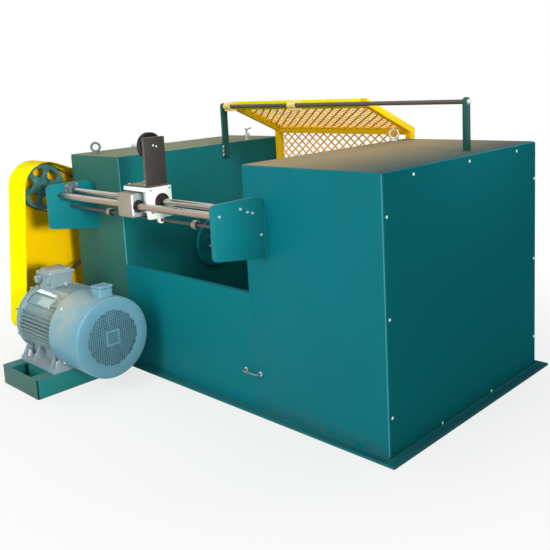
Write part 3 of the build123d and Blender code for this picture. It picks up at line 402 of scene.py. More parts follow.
# Faces to +X, such as the belt guard's inside, take orange as painted light bounced inside the guard.
YELLOW = Finish(
    "yellow_enamel", "yellow_paint", (246, 236, 6), (248, 228, 10), 0.4, gloss=0.0, patches=2.4, wave=0.0006,
    dust_and_painted_light=(212, 164, 46), dust_and_painted_light_share=0.6, painted_light_x=(255, 206, 6),
)
# Faces to +X of the cover bars take a lighter yellow as painted light.
YELLOW_BARS = Finish(
    "yellow_bars", "yellow_paint", (255, 206, 8), (252, 180, 8), 0.44, gloss=0.1, patches=9.0,
    patch_share=0.5, painted_light_x=(255, 220, 20),
)
YELLOW_MESH = Finish(
    "yellow_mesh", "yellow_paint", (252, 196, 24), (224, 160, 24), 0.5, gloss=0.04, patches=18.0,
    patch_share=0.7,
)
CREAM_LUGS = Finish(
    "cream_yellow", "yellow_paint", (240, 214, 130), (220, 186, 90), 0.45, patches=22.0, patch_share=0.7,
)
MOTOR_GREY = Finish(
    "motor_enamel", "motor_paint", (116, 146, 152), (130, 150, 150), 0.42, gloss=0.25, patches=6.0,
    patch_share=0.6, grain=260.0, grain_depth=0.00014, dust_and_painted_light=(146, 156, 150), dust_and_painted_light_share=0.5,
    spot=(0.47, -0.42, 0.46), spot_radius=0.14, spot_colour=(160, 166, 154),
)
LID_GREY = Finish(
    "lid_enamel", "motor_paint", (124, 150, 158), (136, 154, 154), 0.45, gloss=0.25, patches=8.0,
    patch_share=0.6, dust_and_painted_light=(162, 150, 122), dust_and_painted_light_share=0.85,
)
FOOT_GREY = Finish(
    "foot_enamel", "motor_paint", (134, 158, 166), (146, 162, 168), 0.44, gloss=0.25, patches=9.0,
    patch_share=0.6, dust_and_painted_light=(166, 174, 176), dust_and_painted_light_share=0.6,
)
COWL_BLUE = Finish(
    "cowl_enamel", "cowl_paint", (98, 148, 166), (104, 146, 162), 0.38, gloss=0.3, patches=4.0,
    dust_and_painted_light=(134, 150, 146), dust_and_painted_light_share=0.35, spot=(0.585, -0.46, 0.47), spot_radius=0.21,
    spot_colour=(158, 166, 152),
)
FAN_DARK = Finish("fan_blue", "cowl_paint", (52, 76, 86), (40, 60, 68), 0.6, patches=12.0)
ROD_GREY = Finish("pivot_grey", "grey_paint", (92, 86, 80), (72, 68, 66), 0.5, gloss=0.25, patches=12.0)
# Faces to +X of the posts are painted darker green as painted shade.
POST_GREEN = Finish(
    "post_green", "green_paint", (26, 92, 84), (22, 78, 72), 0.4, gloss=0.2, patches=8.0, painted_light_x=(18, 74, 68),
)
WHITE = Finish(
    "white_enamel", "white_paint", (222, 232, 224), (202, 216, 206), 0.4, gloss=0.3, patches=20.0,
    grain_depth=0.00003,
)
BLACK = Finish(
    "black_enamel", "black_paint", (58, 55, 52), (48, 46, 45), 0.5, gloss=0.25, patches=14.0,
    dust_and_painted_light=(150, 140, 116), dust_and_painted_light_share=0.85,
)
BLACK_PLASTIC = Finish(
    "black_moulding", "black_plastic", (40, 36, 36), (54, 48, 48), 0.5, gloss=0.3, patches=18.0,
)
# Faces to the front are painted darker brown as a painted reflection of dark surroundings.
GROUND = Finish(
    "ground_bar", "ground_steel", (206, 204, 194), (168, 160, 146), 0.3, metallic=1.0, patches=4.0,
    grain=300.0, grain_depth=0.000003, lay=(0.03, 1.0, 1.0), ahead=(172, 152, 136),
)
DARK_STEEL = Finish(
    "dark_steel", "ground_steel", (104, 90, 80), (78, 66, 58), 0.45, metallic=0.7, patches=12.0,
    grain_depth=0.00001,
)
# Faces to the front are painted darker brown as a painted reflection of dark surroundings.
CHROME = Finish(
    "chromed_bar", "chromed_steel", (204, 206, 200), (160, 156, 146), 0.22, metallic=1.0, patches=5.0,
    grain=300.0, grain_depth=0.000002, lay=(0.03, 1.0, 1.0), ahead=(168, 160, 148),
)
ZINC = Finish(
    "zinc_plate", "zinc_steel", (226, 232, 230), (196, 202, 200), 0.34, metallic=0.6, patches=60.0,
    grain_depth=0.00002,
)
DULL_ZINC = Finish(
    "dull_zinc", "zinc_steel", (120, 136, 138), (94, 108, 110), 0.5, metallic=0.5, patches=50.0,
    grain_depth=0.00003,
)
# Faces to +X of the cast parts take grey-blue as painted light; the front keeps the brown-grey.
CAST = Finish(
    "cast_iron", "cast_grey", (146, 138, 122), (124, 118, 106), 0.5, gloss=0.2, patches=16.0, grain=380.0,
    grain_depth=0.0001, painted_light_x=(136, 150, 156),
)
# A brown lighter than the black column, for painted light on the column's front face.
FRONT_FACE_LIGHT_BROWN = Finish("column_front_painted_light", "black_paint", (92, 84, 76), (70, 64, 58), 0.5, gloss=0.2, patches=20.0)
# A light teal for the painted highlight on the housings' front edges.
EDGE_HIGHLIGHT_TEAL = Finish(
    "edge_highlight_teal", "teal_paint", (70, 152, 164), (40, 130, 140), 0.4, gloss=0.2, patches=12.0,
)
BEARING_GREY = Finish(
    "bearing_grey", "cast_grey", (88, 102, 106), (70, 84, 88), 0.5, metallic=0.2, patches=20.0, grain=380.0,
    grain_depth=0.0001,
)
RUBBER = Finish("drive_belt", "belt_rubber", (34, 33, 32), (52, 49, 46), 0.72, patches=30.0, grain=900.0)
PLATE = Finish(
    "bare_plate", "zinc_steel", (168, 184, 186), (152, 170, 172), 0.45, gloss=0.4, metallic=0.1, patches=40.0,
)
# A white for the bare label, also used for the painted highlight on the guide's wiper plate.
LABEL_AND_HIGHLIGHT_WHITE = Finish("bare_label", "white_paint", (248, 249, 255), (236, 239, 248), 0.55, patches=40.0)


class Shape:
    """Mesh under construction, in millimetres in the machine's frame."""

    def __init__(self) -> None:
        """Start with an empty mesh."""
        self.mesh = bmesh.new()

    def take(self, part: bmesh.types.BMesh, place: Matrix | None = None) -> None:
        """Clean a finished primitive, put it in place and add it to the shape.

        Args:
            part: Primitive, freed afterwards.
            place: Transform into the machine's frame.
        """
        bmesh.ops.remove_doubles(part, verts=part.verts, dist=MERGE)
        bmesh.ops.recalc_face_normals(part, faces=part.faces)
        if place is not None:
            bmesh.ops.transform(part, matrix=place, verts=part.verts)
        data = bpy.data.meshes.new("primitive")
        part.to_mesh(data)
        part.free()
        self.mesh.from_mesh(data)
        bpy.data.meshes.remove(data)

    @staticmethod
    def bevel(part: bmesh.types.BMesh, geom: list, size: float, steps: int, affect: str = "EDGES") -> None:
        """Round some edges, or some corners, of a primitive."""
        bmesh.ops.bevel(
            part, geom=geom, offset=size, offset_type="OFFSET", segments=steps, profile=0.5,
            affect=affect, clamp_overlap=True, material=-1,
        )

    def ease(self, part: bmesh.types.BMesh, size: float, steps: int) -> None:
        """Round every sharp edge of a primitive, unless the size is 0."""
        if size:
            edges = [e for e in part.edges if len(e.link_faces) == 2 and e.calc_face_angle(0.0) > EASE_ANGLE]
            self.bevel(part, edges, size, steps)

    def block(
        self, low: Point, high: Point, round_by: float = 1.0, steps: int = 2, place: Matrix | None = None
    ) -> None:
        """Add a box with rounded edges.

        Args:
            low: Lowest corner.
            high: Highest corner.
            round_by: Size of the rounding.
            steps: Faces across the rounding.
            place: Transform applied at the end.
        """
        part = bmesh.new()
        low, high = Vector(low), Vector(high)
        size = Matrix.Diagonal((*(high - low), 1.0))
        bmesh.ops.create_cube(part, size=1.0, matrix=Matrix.Translation((low + high) / 2) @ size)
        self.ease(part, round_by, steps)
        self.take(part, place)

    def drum(
        self, start: Point, axis: Axis, radius: float, length: float, top: float | None = None,
        sides: int = 40, round_by: float = 0.0, steps: int = 2, place: Matrix | None = None,
    ) -> None:
        """Add a round or many-sided bar, disc or cone.

        Args:
            start: Centre of its first end.
            axis: Direction to its other end.
            radius: Radius at the first end.
            length: Length along the axis.
            top: Radius at the other end, the same where left out.
            sides: Faces round it.
            round_by: Size of the rounding at its ends.
            steps: Faces across the rounding.
            place: Transform applied at the end.
        """
        part = bmesh.new()
        move = Matrix.Translation(Vector(start) + axis.vector * length / 2) @ turn_to(axis.vector)
        bmesh.ops.create_cone(
            part, cap_ends=True, cap_tris=False, segments=sides, radius1=radius,
            radius2=radius if top is None else top, depth=length, matrix=move,
        )
        self.ease(part, round_by, steps)
        self.take(part, place)

    def lathe(
        self, start: Point, axis: Axis, profile: Profile, sides: int = 48, place: Matrix | None = None
    ) -> None:
        """Spin a profile about an axis.

        Args:
            start: Point on the axis where the profile's first number is 0.
            axis: Direction in which the profile's first number grows.
            profile: Pairs of distance along the axis and radius.
            sides: Faces round the axis.
            place: Transform applied at the end.
        """
        part = bmesh.new()
        move = Matrix.Translation(Vector(start)) @ turn_to(axis.vector)
        points = [part.verts.new(move @ Vector((radius, 0.0, along))) for along, radius in profile]
        line = [part.edges.new(pair) for pair in zip(points, points[1:])]
        bmesh.ops.spin(
            part, geom=points + line, cent=Vector(start), axis=axis.vector, angle=FULL_TURN, steps=sides,
            use_merge=True, use_normal_flip=False, use_duplicate=False,
        )
        self.take(part, place)

    def tube(
        self, start: Point, axis: Axis, outer: float, inner: float, length: float, ease: float,
        sides: int = 48,
    ) -> None:
        """Add a ring or sleeve with eased rims."""
        half = [(ease, inner), (0.0, inner + ease), (0.0, outer - ease), (ease, outer)]
        self.lathe(start, axis, both_halves(half, length), sides)

    def prism(
        self, outline: Profile, x: float, depth: float, corners: dict[int, float] | None = None,
        round_by: float = 1.0, steps: int = 2,
    ) -> None:
        """Extrude an outline of (Y, Z) points along X.

        Args:
            outline: Corner points in order.
            x: Where the extrusion starts.
            depth: Its length along X.
            corners: Rounding radius by the corner's number.
            round_by: Size of the eased edges.
            steps: Faces across the eased edges.
        """
        part = bmesh.new()
        points = [part.verts.new((x, y, z)) for y, z in outline]
        part.faces.new(points)
        for number, radius in (corners or {}).items():
            self.bevel(part, [points[number]], radius, 8, "VERTICES")
        grown = bmesh.ops.extrude_face_region(part, geom=part.faces[:1], use_keep_orig=True)
        moved = [v for v in grown["geom"] if isinstance(v, bmesh.types.BMVert)]
        bmesh.ops.translate(part, vec=(depth, 0.0, 0.0), verts=moved)
        self.ease(part, round_by, steps)
        self.take(part)

    def bar(self, points: list[Point], radius: float, bend: float, sides: int = 14) -> None:
        """Add a round bar bent along a route.

        Args:
            points: Corners of the route, with its two ends.
            radius: Radius of the bar.
            bend: Radius of each bend's centre line.
            sides: Faces round the bar.
        """
        route = [Vector(point) for point in points]
        part = bmesh.new()
        here, heading = route[0], (route[1] - route[0]).normalized()
        made = bmesh.ops.create_circle(
            part, cap_ends=False, segments=sides, radius=radius,
            matrix=Matrix.Translation(here) @ turn_to(heading),
        )
        rim = list({e for v in made["verts"] for e in v.link_edges})
        for number in range(1, len(route)):
            target, after = route[number], None
            if number < len(route) - 1:
                after = (route[number + 1] - target).normalized()
                angle = heading.angle(after)
                target = target - heading * bend * math.tan(angle / 2)
            grown = bmesh.ops.extrude_edge_only(part, edges=rim)["geom"]
            verts = [g for g in grown if isinstance(g, bmesh.types.BMVert)]
            rim = [g for g in grown if isinstance(g, bmesh.types.BMEdge) and all(v in verts for v in g.verts)]
            bmesh.ops.translate(part, vec=target - here, verts=verts)
            here = target
            if after is not None:
                normal = heading.cross(after).normalized()
                centre = here + normal.cross(heading) * bend
                out = bmesh.ops.spin(
                    part, geom=verts + rim, cent=centre, axis=normal, angle=angle, steps=6,
                    use_merge=False, use_normal_flip=False, use_duplicate=False,
                )["geom_last"]
                rim = [g for g in out if isinstance(g, bmesh.types.BMEdge)]
                here = route[number] + after * bend * math.tan(angle / 2)
                heading = after
        bmesh.ops.holes_fill(part, edges=part.edges, sides=0)
        self.take(part)

    def weld(self, start: Point, end: Point, size: float = 4.0) -> None:
        """Add a rippled weld bead.

        Args:
            start: First end of the bead.
            end: Other end of the bead.
            size: Radius of the bead.
        """
        start, end = Vector(start), Vector(end)
        length = (end - start).length
        count = max(4, min(60, round(length / (size * 1.6))))
        pitch = length / count
        profile = [(0.0, 0.0)]
        for ripple in range(count):
            profile += [(pitch * (ripple + 0.2), size * 0.82), (pitch * (ripple + 0.6), size)]
        profile.append((length, 0.0))
        move = Matrix.Translation(start) @ turn_to((end - start).normalized())
        self.lathe((0.0, 0.0, 0.0), Axis.Z, profile, 8, move)

    def hex_bolt(self, at: Point, axis: Axis, across: float, washer: bool = True, stud: float = 0.0) -> None:
        """Add a hexagon head or nut with its washer and stud end.

        Args:
            at: Point on the surface that carries it.
            axis: Direction in which it stands out.
            across: Width across its flats.
            washer: Whether it has a washer.
            stud: Length of stud that stands out of it.
        """
        radius, thick, head = across / math.sqrt(3), across * 0.1, across * 0.55
        base = Vector(at)
        if washer:
            self.drum(at, axis, radius * 1.15, thick, sides=24, round_by=across * 0.03)
            base = base + axis.vector * thick
        self.drum(base, axis, radius, head, sides=6, round_by=across * 0.05)
        if stud:
            self.drum(base, axis, across * 0.32, head + stud, sides=20, round_by=across * 0.06)

    def cap_screw(self, at: Point, axis: Axis, radius: float) -> None:
        """Add a socket head screw.

        Args:
            at: Point on the surface that carries it.
            axis: Direction in which it stands out.
            radius: Radius of its head.
        """
        high, socket = radius * 1.1, radius * 0.5
        profile = [
            (0.0, 0.0), (0.0, radius), (high * 0.85, radius), (high, radius * 0.86), (high, socket),
            (high * 0.4, socket), (high * 0.4, 0.0),
        ]
        self.lathe(at, axis, profile, 24)

    def pan_screw(self, at: Point, axis: Axis, radius: float) -> None:
        """Add a round headed sheet screw."""
        shares = ((0, 0), (0, 1), (0.18, 1), (0.42, 0.7), (0.5, 0.3), (0.5, 0))
        self.lathe(at, axis, [(along * radius, out * radius) for along, out in shares], 20)

    def piece(self, name: str, finish: Finish, *stands_for: str, body: Body = Body.MACHINE) -> None:
        """Turn the shape into a finished piece of the machine.

        Args:
            name: Name of the piece.
            finish: Its surface finish.
            stands_for: Solids that it replaces.
            body: Body that it rides on.
        """
        bmesh.ops.scale(self.mesh, vec=(MM, MM, MM), verts=self.mesh.verts)
        data = bpy.data.meshes.new(name)
        self.mesh.to_mesh(data)
        self.mesh.free()
        made = bpy.data.objects.new(name, data)
        bpy.context.scene.collection.objects.link(made)
        data.shade_smooth()
        data.set_sharp_from_angle(angle=SMOOTH_ANGLE)
        data.materials.append(finish.material())
        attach(made, body.value)
        if stands_for:
            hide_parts(*stands_for)
        log.info("piece %s rides on %s with %d faces", name, body.value, len(data.polygons))


def dress(finish: Finish, *nodes: str) -> None:
    """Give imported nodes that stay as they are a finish.

    Args:
        finish: Surface finish.
        nodes: Names of the nodes.
    """
    for name in nodes:
        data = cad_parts[name].data
        data.materials.clear()
        data.materials.append(finish.material())
        log.info("node %s has finish %s", name, finish.name)


@dataclass
class Housings:
    """The two sheet-steel housings, the bay's low panels, the end panel and the base plate."""

    edge: float = 9.0
    # Width of the painted highlight line on the housings' front edges.
    wear_and_highlight: float = 5.0
    sheet: float = 5.0
    fold: float = 30.0
    seam_out: float = 1.0
    screw_radius: float = 7.0
    end_screws: tuple[tuple[float, float], ...] = (
        (208, 1149), (639, 1152), (1075, 1151), (21, 1006), (21, 594), (21, 183), (1260, 995), (1257, 585),
        (1259, 169), (387, 22), (819, 22),
    )

    def shells(self) -> None:
        """Build both housings with rounded sheet edges and the plate under them."""
        for side, finish in (("left", TEAL_LEFT), ("right", TEAL)):
            extent = Extent.of(side + "_housing")
            shell = Shape()
            shell.block(extent.low - Vector((0, 0, self.edge)), extent.high, self.edge, 4)
            shell.piece(side + "_housing_shell", finish, side + "_housing")
        extent = Extent.of("base_plate")
        plate = Shape()
        plate.block(extent.low, extent.high, 1.5)
        plate.piece("base_sheet", TEAL_BASE, "base_plate")

    def painted_edge_highlights(self) -> None:
        """Run a painted highlight, a light teal line, up the housings' front edges."""
        wear_and_highlight = Shape()
        shift = self.edge - self.wear_and_highlight * math.sqrt(0.5)
        radius = self.edge - self.wear_and_highlight + 0.4
        for side in ("left", "right"):
            extent = Extent.of(side + "_housing")
            foot = (extent.high.x - shift, extent.low.y + shift, extent.low.z + self.edge)
            wear_and_highlight.drum(foot, Axis.Z, radius, extent.size.z - 2 * self.edge, sides=24)
        wear_and_highlight.piece("front_edge_highlights", EDGE_HIGHLIGHT_TEAL)

    def bay_panels(self) -> None:
        """Build the bay's two folded panels, each let in between the housings' rounded edges."""
        for side in ("front", "back"):
            node = f"bay_{side}_panel"
            extent = Extent.of(node)
            face, inwards = (extent.low.y, 1) if side == "front" else (extent.high.y, -1)
            low, high, under = extent.low.z, extent.high.z, extent.high.z - self.sheet
            fold, sheet = face + inwards * self.fold, face + inwards * self.sheet
            outline = [(face, low), (face, high), (fold, high), (fold, under), (sheet, under), (sheet, low)]
            panel = Shape()
            panel.prism(outline, extent.low.x - self.edge, extent.size.x + 2 * self.edge, {1: 4.0}, 0.4, 1)
            panel.piece(f"{node}_sheet", TEAL_FLAT, node)

    def end(self) -> None:
        """Build the screwed end panel."""
        extent = Extent.of("end_panel")
        sheet, screws = Shape(), Shape()
        sheet.block(extent.low, extent.high, 1.2)
        sheet.piece("end_sheet", TEAL_END, "end_panel")
        for y, z in self.end_screws:
            screws.pan_screw((extent.high.x, y, z), Axis.X, self.screw_radius)
        screws.piece("end_panel_screws", ZINC)

    def seams(self) -> None:
        """Run the weld seams along the base's front, back and right edges."""
        left, right = Extent.of("left_housing"), Extent.of("right_housing")
        top = Extent.of("base_plate").high.z
        seam = Shape()
        for y in (-self.seam_out, left.high.y + self.seam_out):
            seam.weld((left.low.x, y, top), (right.high.x, y, top))
        end = right.high.x + 4
        seam.weld((end, 0, top), (end, right.high.y, top))
        seam.piece("base_weld", TEAL_FLAT)

    def build(self) -> None:
        """Build the whole sub-assembly."""
        self.shells()
        self.painted_edge_highlights()
        self.bay_panels()
        self.end()
        self.seams()


@dataclass
class SpoolCentres:
    """Face plate, centres and shafts in the bay."""

    screws: int = 6
    screw_circle: float = 58.0
    screw_turn: float = 0.3
    pin_out: float = 105.0
    pin_radius: float = 15.0
    flange: float = 20.0
    flange_circle: float = 82.0
    bolt: float = 19.0

    def face_plate(self) -> None:
        """Build the face plate with its drive pin and screws."""
        plate, middle = Extent.of("face_plate"), Extent.of("spindle_shaft").middle
        face_x = Extent.of("drive_centre").low.x
        outer, thick = plate.size.y / 2, face_x - plate.low.x
        profile = [
            (0, 0), (0, outer - 4), (4, outer), (thick - 5, outer), (thick, outer - 5), (thick, 70),
            (thick - 3, 66), (thick - 3, 50), (thick, 46), (thick, 0),
        ]
        disc, screws = Shape(), Shape()
        disc.lathe((plate.low.x, middle.y, middle.z), Axis.X, profile, 64)
        pin = (face_x, middle.y + self.pin_out, middle.z)
        disc.drum(pin, Axis.X, self.pin_radius, plate.high.x - face_x, round_by=3)
        disc.piece("face_plate_disc", TEAL_SMALL, "face_plate", body=Body.SPINDLE)
        for y, z in on_circle(middle, self.screw_circle, self.screws, self.screw_turn):
            screws.cap_screw((face_x - 3, y, z), Axis.X, 7)
        screws.piece("face_plate_screws", ZINC, body=Body.SPINDLE)

    def tail(self) -> None:
        """Build the tail sleeve with its flange bolts."""
        sleeve, middle = Extent.of("tail_sleeve"), Extent.of("spindle_shaft").middle
        face_x, reach = sleeve.high.x, sleeve.size.x
        profile = [
            (0, 0), (0, 98), (2, 100), (18, 100), (20, 98), (20, 62), (26, 55), (reach - 14, 55),
            (reach - 14, 51), (reach - 8, 51), (reach - 8, 55), (reach - 3, 55), (reach, 52), (reach, 0),
        ]
        tail, bolts = Shape(), Shape()
        tail.lathe((face_x, middle.y, middle.z), Axis.LEFT, profile, 56)
        tail.piece("tail_sleeve_body", TEAL_SMALL, "tail_sleeve")
        for y, z in on_circle(middle, self.flange_circle, self.screws):
            bolts.hex_bolt((face_x - self.flange, y, z), Axis.LEFT, self.bolt)
        bolts.piece("tail_flange_bolts", ZINC)

    def build(self) -> None:
        """Dress the shaft and centres and build the plates on them."""
        dress(GROUND, "spindle_shaft", "drive_centre", "tail_centre")
        self.face_plate()
        self.tail()


@dataclass
class BeltDrive:
    """Belt guard, pulleys and belts at the left end."""

    spokes: int = 6
    spoke_turn: float = 0.2
    spoke_flat: float = 0.4
    spoke_from: float = 83.0

    def build(self) -> None:
        """Dress the guard, belts and plain pulleys and build the spoked pulley."""
        dress(YELLOW, "belt_guard")
        dress(RUBBER, "main_belt", "traverse_belt")
        dress(TEAL_DUSTY, "spindle_pulley")
        dress(BEARING_GREY, "motor_pulley")
        dress(GROUND, "motor_shaft")
        self.pulley()

    def pulley(self) -> None:
        """Build the spoked pulley of the traverse shaft."""
        extent = Extent.of("traverse_pulley")
        r, width = extent.size.y / 2, extent.size.x
        rim = [(3, r - 20), (0, r - 18), (0, r + 1), (1, r + 2), (4, r + 2), (5, r)]
        hub = [(0, 17.5), (0, 34), (3, 38), (9, 52), (width / 2 - 5, 55)]
        spoke = [(0, 0), (0, 32), (8, 25), (18, 18), (30, 15), (42, 17), (54, 24), (64, 36), (64, 0)]
        wheel = Shape()
        wheel.lathe(extent.start, Axis.X, both_halves(rim, width), 72)
        wheel.lathe(extent.start, Axis.X, both_halves(hub, width))
        for number in range(self.spokes):
            turn = Matrix.Rotation(FULL_TURN * number / self.spokes + self.spoke_turn, 4, "X")
            flat = Matrix.Diagonal((self.spoke_flat, 1.0, 1.0, 1.0))
            place = Matrix.Translation(extent.middle) @ turn @ flat
            wheel.lathe((0, r - self.spoke_from, 0), Axis.Y, spoke, 24, place)
        wheel.piece("spoked_pulley", TEAL_DUSTY, "traverse_pulley", body=Body.TRAVERSE)


@dataclass
class TraverseUnit:
    """Brackets, rods, bearings and stop collars across the front."""

    root_drop: float = 45.0
    top_round: float = 30.0
    root_round: float = 60.0
    low_round: float = 16.0
    collar_width: float = 26.0
    flange: float = 12.0
    bolt_out: float = 31.0
    cap_radius: float = 6.0
    right_screws: tuple[tuple[float, float], ...] = (
        (-265, 995), (-144, 1009), (-104, 990), (-75, 981), (-28, 876),
    )
    left_bolts: tuple[tuple[float, float], ...] = ((-226, 983), (-167, 916))

    def brackets(self) -> None:
        """Build the two side plates with their welds and screws."""
        for side in ("left", "right"):
            node = f"{side}_traverse_bracket"
            extent = Extent.of(node)
            front, root, low, high = extent.low.y, extent.high.y, extent.low.z, extent.high.z
            outline = [(root, high), (front, high), (front, low + self.root_drop), (root, low)]
            corners = {0: self.root_round, 1: self.top_round, 2: self.low_round}
            plate = Shape()
            plate.prism(outline, extent.low.x, extent.size.x, corners, 1.6)
            for x in (extent.low.x - 1, extent.high.x + 1):
                plate.weld((x, root - 2, low + 8), (x, root - 2, high - self.root_round))
            plate.piece(f"{side}_bracket_plate", TEAL_SMALL, node)
        screws = Shape()
        right, left = Extent.of("right_traverse_bracket").high.x, Extent.of("left_traverse_bracket").low.x
        for y, z in self.right_screws:
            screws.cap_screw((right, y, z), Axis.X, self.cap_radius)
        for y, z in self.left_bolts:
            screws.hex_bolt((left, y, z), Axis.LEFT, 19)
        screws.piece("bracket_screws", ZINC)

    def rods(self) -> None:
        """Build the guide rod, the stop rod with its collars and the traverse shaft."""
        for node, finish, body in (
            ("guide_rod", GROUND, Body.MACHINE),
            ("stop_rod", DARK_STEEL, Body.MACHINE),
            ("traverse_shaft", CHROME, Body.TRAVERSE),
        ):
            extent = Extent.of(node)
            rod = Shape()
            rod.drum(extent.start, Axis.X, extent.size.y / 2, extent.size.x, sides=56, round_by=1.0, steps=1)
            rod.piece(node + "_bar", finish, node, body=body)
        extent, stop = Extent.of("stop_collars"), Extent.of("stop_rod")
        radius, inner, width = extent.size.y / 2, stop.size.y / 2, self.collar_width
        y, z = stop.middle.yz
        collars = Shape()
        for x in (extent.low.x, extent.high.x - width):
            collars.tube((x, y, z), Axis.X, radius, inner, width, 1.5)
            collars.cap_screw((x + width / 2, y - radius + 2, z), Axis.FRONT, 4)
        collars.piece("stop_collar_rings", GROUND, "stop_collars")

    def bearings(self) -> None:
        """Build the two flange bearings of the traverse shaft."""
        for side, axis in (("left", Axis.X), ("right", Axis.LEFT)):
            node = f"{side}_shaft_bearing"
            extent = Extent.of(node)
            y, z = extent.middle.yz
            half, boss, step = extent.size.y / 2, extent.size.x, axis.vector.x
            face = extent.low.x if side == "left" else extent.high.x
            square = [(y - half, z - half), (y + half, z - half), (y + half, z + half), (y - half, z + half)]
            corners = dict.fromkeys(range(4), half / 3)
            unit, bolts = Shape(), Shape()
            unit.prism(square, min(face, face + step * self.flange), self.flange, corners, 1.2)
            profile = [
                (8, 0), (8, 34), (16, 32), (boss - 4, 30), (boss, 26), (boss, 24), (boss - 5, 22),
                (boss - 5, SHAFT_BORE), (boss - 5, 0),
            ]
            unit.lathe((face, y, z), axis, profile)
            unit.drum((face + step * 24, y, z + 26), Axis.Z, 3.5, 11, sides=12, round_by=0.8)
            unit.piece(f"{side}_bearing_unit", BEARING_GREY, node)
            for dy in (-self.bolt_out, self.bolt_out):
                for dz in (-self.bolt_out, self.bolt_out):
                    bolts.hex_bolt((face + step * self.flange, y + dy, z + dz), axis, 13)
            bolts.piece(f"{side}_bearing_bolts", DULL_ZINC)

    def build(self) -> None:
        """Build the whole sub-assembly."""
        self.brackets()
        self.rods()
        self.bearings()


